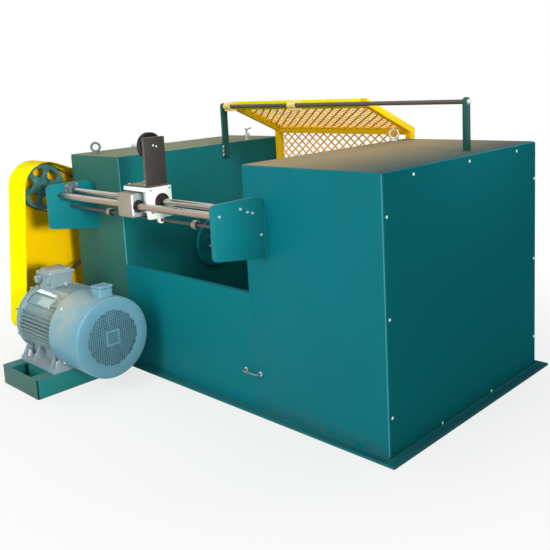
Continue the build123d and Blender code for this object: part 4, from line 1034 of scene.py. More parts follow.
@dataclass
class Carriage:
    """Carriage on the rods: white block, guide housing, trip plate, column and wheel."""

    top_wall: float = 20.0
    end_wall: float = 29.0
    left_wall: float = 17.0
    ring_proud: float = 4.0
    wiper: float = 5.0
    post_inset: float = 16.0
    post_thick: float = 22.0
    post_depth: float = 118.0
    foot_plate: float = 6.0
    wheel_holes: int = 5
    hole_circle: float = 37.0

    def block(self) -> None:
        """Build the white block from its plates."""
        extent, pocket = Extent.of("carriage_block"), Extent.of("guide_housing").high.y
        low, high = extent.low, extent.high
        roof, right, left = high.z - self.top_wall, high.x - self.end_wall, low.x + self.left_wall
        plates, screws = Shape(), Shape()
        plates.block((low.x, low.y, roof), (right, high.y, high.z), 1.6)
        plates.block((right, low.y, low.z), high, 1.6)
        plates.block((low.x, pocket, low.z), (left, high.y, roof), 1.2)
        plates.block((left, pocket, low.z), (right, high.y, roof), 1.2)
        plates.piece("carriage_frame", WHITE, "carriage_block", body=Body.CARRIAGE)
        for y in (low.y + 12, high.y - 12):
            for z in (low.z + 14, high.z - 12):
                screws.cap_screw((high.x, y, z), Axis.X, 4.5)
        screws.piece("carriage_screws", CAST, body=Body.CARRIAGE)

    def rings(self) -> None:
        """Build the black end rings of the bearings."""
        block, guide = Extent.of("carriage_block"), Extent.of("guide_housing")
        shaft, rod = Extent.of("traverse_shaft").middle, Extent.of("guide_rod").middle
        proud, bore = self.ring_proud, SHAFT_BORE
        rings = Shape()
        for x, axis, radius in ((block.high.x, Axis.X, 42), (block.low.x, Axis.LEFT, 32)):
            profile = [
                (0, bore), (0, radius), (proud - 1, radius), (proud, radius - 1), (proud, radius - 7),
                (1, radius - 9), (1, 24), (proud - 1, 23), (proud - 1, 18.5), (proud - 2, bore), (0, bore),
            ]
            rings.lathe((x, shaft.y, shaft.z), axis, profile, 56)
        profile = [
            (0, bore), (0, 31), (6, 31), (8, 29), (8, 25), (3, 23), (3, 20), (6, 19), (6, bore), (0, bore),
        ]
        rings.lathe((guide.high.x, rod.y, rod.z), Axis.X, profile, 56)
        rings.piece("bearing_end_rings", BLACK_PLASTIC, "bearing_rings", body=Body.CARRIAGE)

    def guide(self) -> None:
        """Build the guide housing with its wiper plate and a thin white strip on the plate's front edge as a
        painted highlight.
        """
        extent = Extent.of("guide_housing")
        low, high, wiper_x = extent.low, extent.high, extent.high.x - self.wiper
        body, wiper, rim = Shape(), Shape(), Shape()
        body.block(low, (wiper_x, high.y, high.z), 3.0, 3)
        for z in (low.z + 14, high.z - 14):
            for x in (low.x + 30, high.x - 38):
                body.cap_screw((x, low.y, z), Axis.FRONT, 5)
        body.piece("guide_housing_body", CAST, "guide_housing", body=Body.CARRIAGE)
        wiper.block((wiper_x, low.y + 2, low.z + 10), (high.x, high.y - 4, high.z - 4), 1.2)
        wiper.piece("guide_wiper_plate", CAST, body=Body.CARRIAGE)
        # Painted highlight: a thin white strip along the wiper plate's front edge.
        rim.block((wiper_x + 1, low.y - 3, low.z + 12), (high.x + 0.8, low.y + 5, high.z - 6))
        rim.piece("guide_wiper_painted_highlight", LABEL_AND_HIGHLIGHT_WHITE, body=Body.CARRIAGE)

    def trip(self) -> None:
        """Build the trip plate with the ring on the stop rod."""
        extent, stop = Extent.of("trip_plate"), Extent.of("stop_rod").middle
        low, high, under = extent.low, extent.high, Extent.of("carriage_block").low.z
        trip = Shape()
        trip.block((low.x, low.y, under - 18), (high.x, high.y, under), 2.0)
        trip.tube((high.x - 16, stop.y, stop.z), Axis.X, 17, 7.2, 16, 1.5)
        trip.piece("trip_lever", WHITE, "trip_plate", body=Body.CARRIAGE)

    def column(self) -> None:
        """Build the flat black column with its foot plate, a lighter brown strip on its front face as painted
        light, and screws.
        """
        extent, block = Extent.of("wire_guide_column"), Extent.of("carriage_block")
        x, (y, z), top = extent.low.x, Extent.of("guide_wheel").middle.yz, extent.high.z
        right = block.high.x - self.post_inset
        left = right - self.post_thick
        front, back = y - self.post_depth / 2, y + self.post_depth / 2
        inset, foot = self.foot_plate, block.high.z + self.foot_plate
        post, strip, details = Shape(), Shape(), Shape()
        post.block(
            (block.low.x + inset, block.low.y + inset, block.high.z),
            (block.high.x - inset, block.high.y - inset, foot),
        )
        post.block((left, front, foot), (right, back, top), 1.4)
        post.piece("guide_column_post", BLACK, "wire_guide_column", body=Body.CARRIAGE)
        # Painted light: a lighter brown strip covers the column's front face.
        strip.block((left + 3, front - 1.5, foot + 2), (right - 3, front, top - 4), 0.5)
        strip.piece("column_front_painted_light_strip", FRONT_FACE_LIGHT_BROWN, body=Body.CARRIAGE)
        details.drum((x, y, z), Axis.X, 8, left - x, round_by=1)
        for dy, dz in ((-9, 4), (9, -2)):
            details.pan_screw((right, y + dy, z + dz), Axis.X, 5)
        details.hex_bolt((x + 4, y, z), Axis.LEFT, 13, False)
        for screw_y in (front + 14, back - 14):
            for screw_x in (block.low.x + 22, left - 18):
                details.cap_screw((screw_x, screw_y, foot), Axis.Z, 5)
        details.piece("column_fasteners", ZINC, body=Body.CARRIAGE)

    def wheel(self) -> None:
        """Build the grooved wire guide wheel."""
        extent = Extent.of("guide_wheel")
        r, width = extent.size.y / 2, extent.size.x
        half = [
            (4, 8.1), (0, 10), (0, 18), (5, 21), (7, 24), (7, r - 16), (4, r - 12), (1, r - 9),
            (0, r - 2), (1.5, r), (5, r), (width / 2 - 1, r - 10),
        ]
        wheel = Shape()
        wheel.lathe(extent.start, Axis.X, both_halves(half, width), 64)
        for y, z in on_circle(extent.middle, self.hole_circle, self.wheel_holes):
            wheel.tube((extent.high.x - 7, y, z), Axis.X, 9, 5, 3, 0.8, 20)
        wheel.piece("grooved_wheel", BLACK_PLASTIC, "guide_wheel", body=Body.WHEEL)

    def build(self) -> None:
        """Build the whole sub-assembly."""
        self.block()
        self.rings()
        self.guide()
        self.trip()
        self.column()
        self.wheel()


@dataclass
class Motor:
    """Foot-mounted drive motor with its terminal box, cowl and grille."""

    radius: float = 174.0
    fin_height: float = 24.0
    fin_thick: float = 5.0
    fins_a_side: int = 12
    first_fin: float = -24.0
    last_fin: float = 46.0
    pad_from: float = 31.0
    pad_end: float = 432.0
    plate_angle: float = 49.0
    label_angle: float = 68.0
    top_fins: int = 7
    top_pitch: float = 24.0
    top_start: float = 346.0
    shield_ribs: int = 8
    shield_bolts: int = 4
    cowl_wall: float = 2.5
    cowl_lip: float = 8.0
    cowl_screws: tuple[float, ...] = (45, 135, 225, 320)
    fan_back: float = 60.0
    fan_blades: int = 9
    hole_pitch: float = 11.5
    hole_share: float = 0.2
    field: float = 146.0
    square: float = 41.0
    square_edge: float = 11.0
    foot_thick: float = 24.0
    foot_bolt_inset: float = 32.0
    foot_bolt_out: float = 159.0
    rib_left: float = 290.0
    rib_right: float = 466.0
    lid_dome: float = 16.0
    lid_inset: float = 12.0
    plug_rise: float = 78.0
    plug_out: float = 50.0
    box_seat: float = 196.0
    box_lid: float = 12.0

    @property
    def middle(self) -> Vector:
        """A point on the motor's shaft, at its frame's left end."""
        return Vector((Extent.of("motor_frame").low.x, *Extent.of("fan_cowl").middle.yz))

    def around(self, angle: float, x: float = 0.0) -> Matrix:
        """Place a piece built in front of the shaft so many degrees up round it, shifted along it."""
        place = Matrix.Translation((x, self.middle.y, self.middle.z))
        return place @ Matrix.Rotation(-math.radians(angle), 4, "X")

    def barrel(self) -> None:
        """Build the finned frame with its end flanges."""
        extent = Extent.of("motor_frame")
        low, high, length = extent.low.x, extent.high.x, extent.size.x
        r, half = self.radius, self.fin_thick / 2
        profile = [
            (0, 0), (0, r + 20), (2, r + 22), (14, r + 22), (20, r), (length - 24, r), (length - 19, r + 16),
            (length - 2, r + 16), (length, r + 14), (length, 0),
        ]
        body = Shape()
        body.lathe(self.middle, Axis.X, profile, 96)
        step = (self.last_fin - self.first_fin) / (self.fins_a_side - 1)
        for number in range(self.fins_a_side):
            angle = self.first_fin + step * number
            begin = self.pad_end if angle > self.pad_from else low + 16
            for turned, start in ((angle, begin), (180 - angle, low + 16)):
                fin = (start, -r - self.fin_height, -half), (high - 22, -r + 6, half)
                body.block(*fin, 1.8, 2, self.around(turned))
        for number in range(self.top_fins):
            y = self.middle.y + (number - (self.top_fins - 1) / 2) * self.top_pitch
            foot = self.middle.z + r - 20
            body.block((self.top_start, y - half, foot), (high - 2, y + half, extent.high.z), 1.8)
        body.piece("finned_frame", MOTOR_GREY, "motor_frame")

    def plates(self) -> None:
        """Add the bare name plate and the bare label on their pads."""
        r, at_plate, at_label = self.radius, self.around(self.plate_angle), self.around(self.label_angle)
        pad, plate, label, rivets = Shape(), Shape(), Shape(), Shape()
        pad.block((206, -r - 17, -32), (self.pad_end - 8, -r + 4, 32), 5, 3, at_plate)
        pad.block((194, -r - 13, -25), (410, -r + 4, 25), 4, 2, at_label)
        plate.block((304, -r - 18.2, -24), (424, -r - 17, 22), 0.5, 1, at_plate)
        label.block((200, -r - 14.4, -20), (398, -r - 13.2, 21), 0.4, 1, at_label)
        for x in (309, 419):
            for z in (-19, 17):
                rivets.drum((x, -r - 18, z), Axis.FRONT, 2.6, 2.2, sides=12, round_by=0.6, place=at_plate)
        for name, finish, shape in (
            ("plate_pads", MOTOR_GREY, pad), ("bare_name_plate", PLATE, plate), ("bare_label", LABEL_AND_HIGHLIGHT_WHITE, label),
            ("plate_rivets", ZINC, rivets),
        ):
            shape.piece(name, finish)

    def shield(self) -> None:
        """Build the drive-end shield with ribs, cap and tie bolts."""
        extent = Extent.of("end_shield")
        outer, length = extent.size.y / 2, extent.size.x
        profile = [
            (0, 0), (0, outer), (10, outer), (14, outer - 6), (length - 22, 129), (length - 14, 127),
            (length - 12, 74), (length - 3, 72), (length, 66), (length, 30), (length - 6, 28),
            (length - 6, 0),
        ]
        cover, bolts = Shape(), Shape()
        cover.lathe((extent.high.x, self.middle.y, self.middle.z), Axis.LEFT, profile, 80)
        pitch = 360 / self.shield_ribs
        for number in range(self.shield_ribs):
            place = self.around(pitch * (number + 0.5), extent.low.x)
            cover.block((12, -outer + 10, -5), (length - 8, -60, 5), 2.0, 2, place)
        cover.piece("drive_end_shield", MOTOR_GREY, "end_shield")
        for y, z in on_circle(self.middle, outer - 12, self.shield_bolts, FULL_TURN / 8):
            bolts.hex_bolt((extent.high.x - 10, y, z), Axis.LEFT, 16)
        bolts.piece("shield_bolts", ZINC)

    def cowl(self) -> None:
        """Build the fan cowl as a sheet shell with a pierced end, and the fan in it."""
        extent, (y, z) = Extent.of("fan_cowl"), self.middle.yz
        outer, length, end = extent.size.y / 2, extent.size.x, extent.high.x
        start = (extent.low.x, y, z)
        wall, lip = self.cowl_wall, self.cowl_lip
        turns = [(math.sin(step * math.pi / 8), math.cos(step * math.pi / 8)) for step in range(5)]
        outside, inside = (
            [(length - lip + bend * sine, outer - lip + bend * cosine) for sine, cosine in turns]
            for bend in (lip, lip - wall)
        )
        profile = [(0, outer - 1.5), (0, outer), (12, outer)] + outside
        profile += [(length, self.field + 3), (length - 1, self.field + 1), (length - wall, self.field + 1)]
        profile += inside[::-1] + [(0, outer - wall), (0, outer - 1.5)]
        shell, screws, fan = Shape(), Shape(), Shape()
        shell.lathe(start, Axis.X, profile, 96)
        shell.lathe(start, Axis.X, [(4, 0), (4, outer - wall), (8, outer - wall), (8, 0)], 64)
        self.grille(shell, Vector((end - 1.2, y, z)))
        shell.piece("fan_cowl_shell", COWL_BLUE, "fan_cowl")
        for angle in self.cowl_screws:
            place = self.around(angle, extent.low.x + 46)
            screws.drum((0, -outer + 1, 0), Axis.FRONT, 9, 5, sides=6, round_by=0.8, place=place)
        screws.piece("cowl_screws", ZINC)
        back = end - self.fan_back
        fan.drum((back, y, z), Axis.X, 60, 34, top=50, round_by=3)
        fan.drum((back - 4, y, z), Axis.X, 172, 4, round_by=1, sides=64)
        for number in range(self.fan_blades):
            place = self.around(360 / self.fan_blades * number, back)
            fan.block((0, -168, -3), (42, -52, 3), 1.0, 1, place)
        fan.piece("cooling_fan", FAN_DARK, body=Body.ROTOR)

    def grille(self, shell: Shape, centre: Vector) -> None:
        """Pierce a round field of small square holes, with a plain square in its middle.

        Args:
            shell: Shape that takes the pierced disc.
            centre: Middle of the field on the cowl's end.
        """
        count = round(2 * (self.field + 8) / self.hole_pitch)
        part = bmesh.new()
        bmesh.ops.create_grid(part, x_segments=count, y_segments=count, size=count * self.hole_pitch / 2)
        outside = [f for f in part.faces if f.calc_center_median().length > self.field + 10]
        bmesh.ops.delete(part, geom=outside, context="FACES")
        pierced = []
        for face in part.faces:
            middle = face.calc_center_median()
            out = max(abs(middle.x), abs(middle.y))
            plain = self.square - self.square_edge < out < self.square
            if middle.length < self.field - 6 and not plain:
                pierced.append(face)
        strip = self.hole_pitch * self.hole_share
        bmesh.ops.inset_individual(part, faces=pierced, thickness=strip, depth=0.0)
        bmesh.ops.delete(part, geom=pierced, context="FACES")
        bmesh.ops.recalc_face_normals(part, faces=part.faces)
        bmesh.ops.solidify(part, geom=part.faces[:], thickness=1.2)
        shell.take(part, Matrix.Translation(centre) @ turn_to(Axis.X.vector))

    def feet(self) -> None:
        """Add studs, nuts and stiffening ribs to the feet."""
        dress(FOOT_GREY, "motor_feet")
        extent, y = Extent.of("motor_feet"), self.middle.y
        left, right, top = extent.low.x, extent.high.x, extent.low.z + self.foot_thick
        nuts, ribs = Shape(), Shape()
        for side in (-1, 1):
            for x in (left + self.foot_bolt_inset, right - self.foot_bolt_inset):
                nuts.hex_bolt((x, y + side * self.foot_bolt_out, top), Axis.Z, 24, True, 14)
            outline = [(y + side * out, top + up) for out, up in ((190, -2), (118, -2), (118, 92), (140, 92))]
            for x in (left + 6, self.rib_left, self.rib_right, right - 6):
                ribs.prism(outline, x - 5, 10, None, 1.5)
        nuts.piece("foot_nuts", ZINC)
        ribs.piece("foot_ribs", FOOT_GREY)

    def terminal_box(self) -> None:
        """Build the terminal box's domed lid with its screws and the box's plugs."""
        dress(LID_GREY, "terminal_box")
        extent, lid = Extent.of("terminal_box"), Extent.of("terminal_lid")
        low, high, inset, dome = lid.low, lid.high, self.lid_inset, self.lid_dome
        cover, screws, plugs = Shape(), Shape(), Shape()
        cover.block(low, high, 6, 4)
        corner = (low.x + inset, low.y + inset, high.z - dome)
        cover.block(corner, (high.x - inset, high.y - inset, high.z + dome), dome - 1, 6)
        cover.piece("terminal_lid_cast", LID_GREY, "terminal_lid")
        for x in (low.x + 10, high.x - 10):
            for y in (low.y + 10, high.y - 10):
                screws.hex_bolt((x, y, high.z - 1), Axis.Z, 9)
        for x in (extent.middle.x - self.plug_out, extent.middle.x + self.plug_out):
            z = extent.low.z + self.plug_rise
            plugs.drum((x, extent.low.y, z), Axis.FRONT, 27, 12, sides=6, round_by=1.5)
            plugs.drum((x, extent.low.y - 12, z), Axis.FRONT, 21, 13, sides=32, round_by=3)
        screws.hex_bolt((extent.high.x, extent.middle.y + 18, extent.high.z - 58), Axis.X, 17)
        screws.piece("terminal_lid_screws", ZINC)
        plugs.piece("terminal_plugs", MOTOR_GREY)

    def fan_box(self) -> None:
        """Build the fan's small box with its lid and gland."""
        extent = Extent.of("fan_box")
        low, high, rim = extent.low, extent.high, extent.high.z - self.box_lid
        y, z = extent.middle.y - 20, high.z - 34
        box = Shape()
        box.block((low.x, low.y, self.middle.z + self.box_seat), (high.x, high.y, rim), 8, 3)
        box.block((low.x - 2, low.y - 2, rim), (high.x + 2, high.y + 2, high.z), 4, 3)
        box.drum((low.x, y, z), Axis.LEFT, 13, 14, sides=6, round_by=1)
        box.drum((low.x - 14, y, z), Axis.LEFT, 10, 12, round_by=2)
        box.piece("fan_terminal_box", COWL_BLUE, "fan_box")

    def build(self) -> None:
        """Build the whole sub-assembly."""
        self.barrel()
        self.plates()
        self.shield()
        self.cowl()
        self.feet()
        self.terminal_box()
        self.fan_box()


@dataclass
class MotorBase:
    """Channel base under the motor."""

    edge: float = 8.0
    proud: float = 1.2
    gap: float = 0.8
    # Width of the painted shadow strip at the front plate's right end, where the plate stops short.
    seam: float = 7.0
    shadow_top: float = 104.0
    weld_low: float = 10.0
    weld_high: float = 96.0
    bead: float = 3.5

    def build(self) -> None:
        """Dress the channels, close them with the front plate, put a dark strip as painted shadow in its
        corner gap and weld them.
        """
        dress(BASE_WEB, "motor_base_left", "motor_base_right", "motor_base_cross")
        front, left, right = (Extent.of("motor_base_" + side) for side in ("front", "left", "right"))
        shadow_x, proud, gap = front.high.x - self.seam, self.proud, self.gap
        plate, rims, corner_shadow = Shape(), Shape(), Shape()
        plate.block(front.low, (shadow_x, front.high.y, front.high.z), 1.2)
        plate.piece("motor_base_plate", BASE_FRONT_SHEEN, "motor_base_front")
        # A near-black strip where the plate stops short stands in for the shadow in the corner gap.
        top_corner = (front.high.x - 1, front.high.y, self.shadow_top)
        corner_shadow.block((shadow_x - 1, front.low.y + 2, 0.5), top_corner, 0.5, 1)
        corner_shadow.piece("base_corner_painted_shadow", CORNER_SHADOW_DARK)
        low, high = left.low.y, left.high.y
        for x in (left.low.x, right.high.x):
            for z in (gap, left.high.z - self.edge + gap):
                rims.block((x - proud, low, z), (x + proud, high, z + self.edge - 2 * gap), 0.6, 1)
        for x in (left.high.x, right.low.x):
            rims.weld((x, low, self.weld_low), (x, low, self.weld_high), self.bead)
        rims.piece("base_flange_edges", BASE_FRONT_SHEEN)


@dataclass
class MeshCover:
    """Hinged cover of expanded metal on yellow bars, with its posts and pivot rod."""

    bar: float = 38.0
    bar_round: float = 2.5
    knee_rise: float = 66.0
    leg_gap: float = 6.0
    cell_width: float = 61.0
    cell_height: float = 50.0
    strand: float = 10.5
    sheet: float = 6.0
    lap: float = 12.0
    bead_pitch: float = 46.0
    lug_width: float = 56.0
    lug_tail: float = 46.0
    lug_bore: float = 11.1
    lug_wall: float = 9.0
    bolt: float = 19.0

    @property
    def knee(self) -> Vector:
        """Y and Z of the cover's bend."""
        return Vector((Extent.of("cover_frame").high.y, Extent.of("right_housing").high.z + self.knee_rise))

    @property
    def rise(self) -> Vector:
        """Y and Z of the top rail's front edge, where the slope to the bend starts."""
        extent = Extent.of("cover_frame")
        return Vector((extent.low.y, extent.high.z))

    def lattice(self, name: str, width: float, height: float, place: Matrix, node: str) -> None:
        """Build a panel of expanded metal.

        Args:
            name: Name of the piece.
            width: Width of the panel.
            height: Height of the panel.
            place: Transform from the panel's own plane, centred on it, to the machine's frame.
            node: Solid that it replaces.
        """
        cells = math.ceil((width / self.cell_width + height / self.cell_height) / 2) * 2 + 2
        part = bmesh.new()
        bmesh.ops.create_grid(part, x_segments=cells, y_segments=cells, size=cells / 2)
        turn = Matrix.Rotation(math.pi / 4, 4, "Z")
        stretch = Matrix.Diagonal((self.cell_width / math.sqrt(2), self.cell_height / math.sqrt(2), 1.0, 1.0))
        bmesh.ops.transform(part, matrix=stretch @ turn, verts=part.verts)
        for along, reach in ((Vector((1, 0, 0)), width / 2), (Vector((0, 1, 0)), height / 2)):
            for normal in (along, -along):
                bmesh.ops.bisect_plane(
                    part, geom=part.verts[:] + part.edges[:] + part.faces[:], dist=0.01,
                    plane_co=normal * reach, plane_no=normal, clear_outer=True,
                )
        faces = [f for f in part.faces if f.calc_area() > self.strand * self.strand * 4]
        small = [f for f in part.faces if f not in faces]
        bmesh.ops.inset_individual(part, faces=faces, thickness=self.strand / 2, depth=0.0)
        bmesh.ops.delete(part, geom=faces + small, context="FACES")
        bmesh.ops.recalc_face_normals(part, faces=part.faces)
        bmesh.ops.solidify(part, geom=part.faces[:], thickness=self.sheet)
        panel = Shape()
        panel.take(part, place)
        panel.piece(name, YELLOW_MESH, node, body=Body.COVER)

    def panels(self) -> None:
        """Build the sloping top panel and the back panel that hangs in the bay."""
        top, back = Extent.of("cover_top_mesh"), Extent.of("cover_back_mesh")
        along = (self.knee - self.rise).normalized()
        first, last = self.rise + along * self.bar, self.knee - along * 8
        middle = (first + last) / 2
        turn = Matrix.Rotation(math.atan2(along.y, along.x), 4, "X")
        place = Matrix.Translation((top.middle.x, middle.x, middle.y - 0.6)) @ turn
        height = (last - first).length + self.lap + 2
        self.lattice("cover_top_lattice", top.size.x + self.lap, height, place, "cover_top_mesh")
        turn = Matrix.Rotation(math.pi / 2, 4, "X")
        place = Matrix.Translation((back.middle.x, back.high.y, back.middle.z)) @ turn
        width, height = back.size.x + self.lap, back.size.z + self.lap
        self.lattice("cover_back_lattice", width, height, place, "cover_back_mesh")

    def bars(self) -> None:
        """Build the bent side bars, the bar that hangs in the bay and the three rails."""
        extent, back = Extent.of("cover_frame"), Extent.of("cover_back_mesh")
        bar, eased = self.bar, self.bar_round
        (knee_y, knee_z), (y, z) = self.knee, self.rise
        fall = (knee_z - z) / (knee_y - y)
        leg = Extent.of("right_housing").high.z + self.leg_gap
        bottom, left, right = extent.low.z, extent.low.x + bar, extent.high.x - bar
        inner_y, inner_z = knee_y - bar, knee_z - bar
        bars, rails = Shape(), Shape()
        for x, low in ((extent.low.x, bottom), (right, leg)):
            outline = [
                (y, z), (knee_y, knee_z), (knee_y, low), (inner_y, low), (inner_y, inner_z - bar * fall),
                (y, z - bar),
            ]
            bars.prism(outline, x, bar, None, eased)
        bars.block((back.high.x, inner_y, bottom), (back.high.x + bar, knee_y, inner_z), eased)
        slope = math.atan(fall)
        rail_y, rail_z = y + bar * math.cos(slope), z + bar * math.sin(slope)
        outline = [(y, z), (rail_y, rail_z), (rail_y, rail_z - bar), (y, z - bar)]
        rails.prism(outline, left, right - left, None, eased)
        bars.block((left, inner_y, inner_z), (right, knee_y, knee_z), eased)
        bars.block((left, inner_y, bottom), (back.high.x, knee_y, bottom + bar), eased)
        bars.piece("cover_bars", YELLOW_BARS, "cover_frame", body=Body.COVER)
        rails.piece("cover_top_rail", YELLOW, body=Body.COVER)
        self.beads(left, right - left)

    def beads(self, left: float, width: float) -> None:
        """Fix the lattice to the bars with rows of weld beads.

        Args:
            left: Where the knee rail starts.
            width: Length of the knee rail.
        """
        along, pitch = self.knee - self.rise, self.bead_pitch
        beads = Shape()
        for number in range(1, int(along.length / pitch)):
            y, z = self.rise + along.normalized() * number * pitch
            beads.block((left - 6, y - 14, z - 22), (left + 12, y + 14, z - 1), 4)
        rail, z = self.knee.x - self.bar, self.knee.y
        for number in range(1, int(width / pitch)):
            x = left + number * pitch
            beads.block((x - 14, rail - 12, z - 8), (x + 14, rail + 5, z + 3), 4)
        beads.piece("lattice_welds", YELLOW_BARS, body=Body.COVER)

    def lugs(self) -> None:
        """Build the two lug blocks that swing on the pivot rod."""
        extent, (y, z) = Extent.of("cover_lugs"), Extent.of("pivot_rod").middle.yz
        start_y, start_z = self.rise
        width, bore, outer = self.lug_width, self.lug_bore, self.lug_bore + self.lug_wall
        outline = [(y + 12, z - 16), (start_y, start_z - self.bar), (start_y, start_z), (y + 6, z + 19)]
        lugs = Shape()
        for x in (extent.low.x, extent.high.x - width):
            lugs.tube((x, y, z), Axis.X, outer, bore, width, 1.2, 40)
            lugs.prism(outline, x + 2, width - 4, None, 1.5)
            tail = (x + width + self.lug_tail, y + 8, z - outer + 2)
            lugs.block((x + 2, y - 8, z - outer - self.lug_wall), tail, 1.5)
        lugs.piece("cover_lug_blocks", CREAM_LUGS, "cover_lugs", body=Body.COVER)

    def posts(self) -> None:
        """Build the two posts and the pivot rod."""
        pivot = Extent.of("pivot_rod")
        rod, ends = Shape(), Shape()
        rod.drum(pivot.start, Axis.X, pivot.size.y / 2, pivot.size.x, round_by=0.8, steps=1)
        rod.piece("pivot_bar", ROD_GREY, "pivot_rod")
        for side, axis in (("left", Axis.LEFT), ("right", Axis.X)):
            extent = Extent.of(f"{side}_cover_post")
            left, right, foot, half = extent.low.x, extent.high.x, extent.low.z, extent.size.y / 2
            y, z, top = extent.middle.y, extent.high.z - half, extent.high.z
            outline = [(y - half, foot), (y + half, foot), (y + half, top), (y - half, top)]
            post = Shape()
            post.prism(outline, left, extent.size.x, {2: half * 0.99, 3: half * 0.99}, 1.2)
            if side == "right":
                for x in (left, right):
                    post.weld((x, y - half, foot + 1), (x, y + half, foot + 1), 3)
            else:
                x, front = extent.middle.x, extent.low.y - 1
                for low in (foot + 14, foot + 38, foot + 62):
                    ends.weld((x - 4, front, low), (x + 5, front, low + 17), 5.0)
            post.piece(f"{side}_post_bar", POST_GREEN, f"{side}_cover_post")
            ends.hex_bolt((right if side == "right" else left, y, z), axis, self.bolt)
        ends.piece("post_fasteners", ZINC)

    def build(self) -> None:
        """Build the whole sub-assembly."""
        self.panels()
        self.bars()
        self.lugs()
        self.posts()


@dataclass
class SmallParts:
    """Lifting eyes, pull handle and the air valve."""

    eye_centre: float = 24.5
    eye_bar: float = 7.0
    eye_rise: float = 38.0
    eye_turn: float = 45.0
    handle_bend: float = 14.0
    valve_place: tuple[float, float] = (455.0, 1010.0)
    valve_seat: float = 5.0
    valve_height: float = 54.0

    def eyes(self) -> None:
        """Build the two forged lifting eyes."""
        for side, finish in (("left", DULL_ZINC), ("right", ZINC)):
            node = side + "_lifting_eye"
            extent = Extent.of(node)
            x, y, foot = *extent.middle.xy, extent.low.z
            profile = [(0, 0), (0, 20), (2, 21), (7, 20), (10, 14), (16, 9), (18, 0)]
            eye = Shape()
            eye.lathe((x, y, foot), Axis.Z, profile, 40)
            part = bmesh.new()
            made = bmesh.ops.create_circle(part, cap_ends=False, segments=16, radius=self.eye_bar)
            upright = Matrix.Rotation(math.pi / 2, 4, "X")
            move = Matrix.Translation((self.eye_centre, 0, 0)) @ upright
            bmesh.ops.transform(part, matrix=move, verts=part.verts)
            bmesh.ops.spin(
                part, geom=made["verts"] + part.edges[:], cent=(0, 0, 0), axis=(0, 0, 1), angle=FULL_TURN,
                steps=48, use_merge=True, use_normal_flip=False, use_duplicate=False,
            )
            turn = Matrix.Rotation(math.radians(self.eye_turn), 4, "Z") @ upright
            eye.take(part, Matrix.Translation((x, y, foot + self.eye_rise)) @ turn)
            eye.piece(side + "_eye_bolt", finish, node)

    def handle(self) -> None:
        """Build the bent pull handle with its two feet."""
        extent = Extent.of("front_handle")
        radius, z = extent.size.z / 2, extent.middle.z
        left, right, out = extent.low.x + radius, extent.high.x - radius, extent.low.y + radius
        handle, feet = Shape(), Shape()
        route = [(left, -1, z), (left, out, z), (right, out, z), (right, -1, z)]
        handle.bar(route, radius, self.handle_bend)
        for x in (left, right):
            feet.drum((x, 0, z), Axis.FRONT, 12, 7, sides=6, round_by=1)
        handle.piece("pull_handle", DULL_ZINC, "front_handle")
        feet.piece("handle_nuts", ZINC)

    def valve(self) -> None:
        """Build the small white valve with black levers on the left housing."""
        (x, y), foot = self.valve_place, Extent.of("left_housing").high.z
        top = foot + self.valve_height
        body, lever = Shape(), Shape()
        body.drum((x, y, foot), Axis.Z, 16, self.valve_seat, sides=6, round_by=0.8)
        profile = [(0, 0), (0, 9), (14, 9), (18, 15), (36, 15), (40, 8), (52, 8), (54, 0)]
        body.lathe((x, y, foot + self.valve_seat), Axis.Z, profile, 28)
        body.drum((x - 20, y, foot + 32), Axis.X, 7, 40, sides=20, round_by=1)
        body.piece("air_valve_body", WHITE)
        lever.bar([(x, y, top), (x, y, top + 10), (x + 34, y + 6, top + 22)], 3.2, 6, 10)
        lever.bar([(x - 2, y, top + 2), (x - 8, y - 4, top + 20)], 3.0, 4, 10)
        lever.piece("air_valve_levers", BLACK_PLASTIC)

    def build(self) -> None:
        """Build the whole sub-assembly."""
        self.eyes()
        self.handle()
        self.valve()


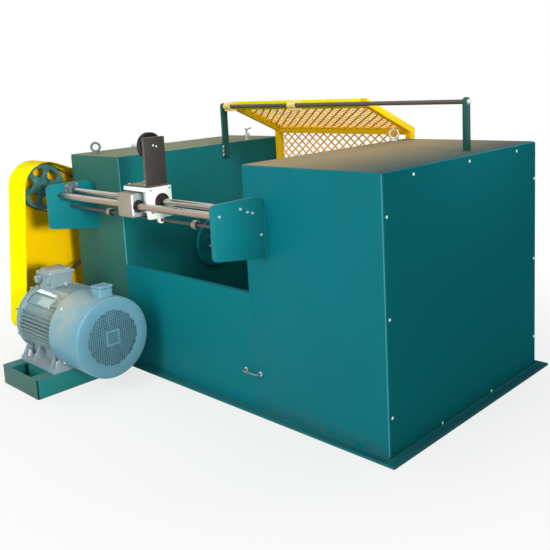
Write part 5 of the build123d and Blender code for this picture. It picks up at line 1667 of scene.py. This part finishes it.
@dataclass
class Studio:
    """Floor, lamps, world and camera."""

    position: Point = (3.956, -2.268, 1.548)
    yaw: float = 45.0
    pitch: float = 9.23
    roll: float = -3.06
    lens: float = 48.76
    sensor: float = 36.0
    shift: float = -0.134
    far: float = 60.0
    middle: Point = (1.1, 0.5, 0.0)
    shadow_near: float = 1.4
    shadow_far: float = 2.6
    glow: float = 0.74
    sky: Colour = (236, 240, 244)
    sky_power: float = 0.75
    floor_size: float = 30.0

    def camera(self) -> None:
        """Place the camera at the photographed angle."""
        yaw, pitch, roll = (math.radians(a) for a in (self.yaw, self.pitch, self.roll))
        level = Vector((-math.sin(yaw), math.cos(yaw), 0))
        ahead = level * math.cos(pitch) - Axis.Z.vector * math.sin(pitch)
        side = Vector((math.cos(yaw), math.sin(yaw), 0))
        above = side.cross(ahead)
        right = side * math.cos(roll) + above * math.sin(roll)
        up = above * math.cos(roll) - side * math.sin(roll)
        data = bpy.data.cameras.new("camera")
        data.lens, data.sensor_width, data.shift_y = self.lens, self.sensor, self.shift
        data.clip_end = self.far
        made = bpy.data.objects.new("camera", data)
        place = Matrix((right, up, -ahead)).transposed().to_4x4()
        made.matrix_world = Matrix.Translation(self.position) @ place
        bpy.context.scene.collection.objects.link(made)
        bpy.context.scene.camera = made

    def lamp(
        self, name: str, at: Point, aim: Point, size: float, power: float, tint: Colour, spread: float = 180.0
    ) -> None:
        """Add a soft square lamp.

        Args:
            name: Name of the lamp.
            at: Its place.
            aim: Point that it looks at.
            size: Length of its sides.
            power: Its power in watts.
            tint: Colour of its light.
            spread: Angle of its beam in degrees.
        """
        data = bpy.data.lights.new(name, "AREA")
        data.shape, data.size, data.energy, data.spread = "SQUARE", size, power, math.radians(spread)
        data.color = linear(tint)[:3]
        made = bpy.data.objects.new(name, data)
        made.matrix_world = Matrix.Translation(at) @ turn_to(Vector(at) - Vector(aim))
        bpy.context.scene.collection.objects.link(made)

    def world(self) -> None:
        """Light the scene evenly and show white behind the machine."""
        made = bpy.data.worlds.new("studio")
        bpy.context.scene.world = made
        board = Board(made)
        sky = board.node("Background", {0: linear(self.sky), 1: self.sky_power})
        white = board.node("Background", {0: WHITE_LIGHT, 1: 1.0})
        mix = board.node("MixShader", {0: board.seen(), 1: sky.outputs[0], 2: white.outputs[0]})
        board.node("OutputWorld", {0: mix.outputs[0]})

    def floor(self) -> None:
        """Lay a pale floor that takes the machine's shadow."""
        data = bpy.data.meshes.new("floor")
        part = bmesh.new()
        bmesh.ops.create_grid(part, x_segments=1, y_segments=1, size=self.floor_size)
        part.to_mesh(data)
        part.free()
        made = bpy.data.objects.new("floor", data)
        bpy.context.scene.collection.objects.link(made)
        material = bpy.data.materials.new("pale_floor")
        board = Board(material)
        pale = board.node("BsdfDiffuse", {"Color": (0.82, 0.82, 0.8, 1.0)})
        glow = board.node("Emission", {"Color": WHITE_LIGHT, "Strength": 1.0})
        away = board.distance(board.node("TexCoord").outputs["Object"], self.middle)
        fade = board.span(away, self.shadow_near, self.shadow_far, self.glow, 1.0)
        share = board.join("MULTIPLY", board.seen(), fade)
        mix = board.node("MixShader", {0: share, 1: pale.outputs[0], 2: glow.outputs[0]})
        board.node("OutputMaterial", {"Surface": mix.outputs[0]})
        data.materials.append(material)

    def build(self) -> None:
        """Set up the whole studio."""
        bpy.context.scene.view_settings.view_transform = "Standard"
        self.camera()
        self.world()
        self.floor()
        self.lamp("key", (1.8, -6.0, 3.6), (1.1, 0.0, 0.6), 3.2, 200, (255, 253, 248))
        self.lamp("fill", (5.0, -1.5, 1.5), (-0.1, -0.35, 0.75), 0.7, 4.6, (255, 254, 250), 24.0)
        self.lamp("cover", (6.5, 0.2, 3.4), (1.0, 0.9, 1.3), 0.9, 2.8, (255, 254, 250), 19.0)
        self.lamp("top", (1.2, 1.5, 6.5), (1.2, 0.5, 0.0), 4.0, 46, (255, 255, 250))


def main() -> None:
    """Build the studio and every sub-assembly."""
    logging.basicConfig(level=logging.INFO, format="%(name)s: %(message)s")
    for part in (
        Studio(), Housings(), SpoolCentres(), BeltDrive(), TraverseUnit(), Carriage(), Motor(), MotorBase(),
        MeshCover(), SmallParts(),
    ):
        log.info("building %s", type(part).__name__)
        part.build()


if __name__ == "__main__":
    main()
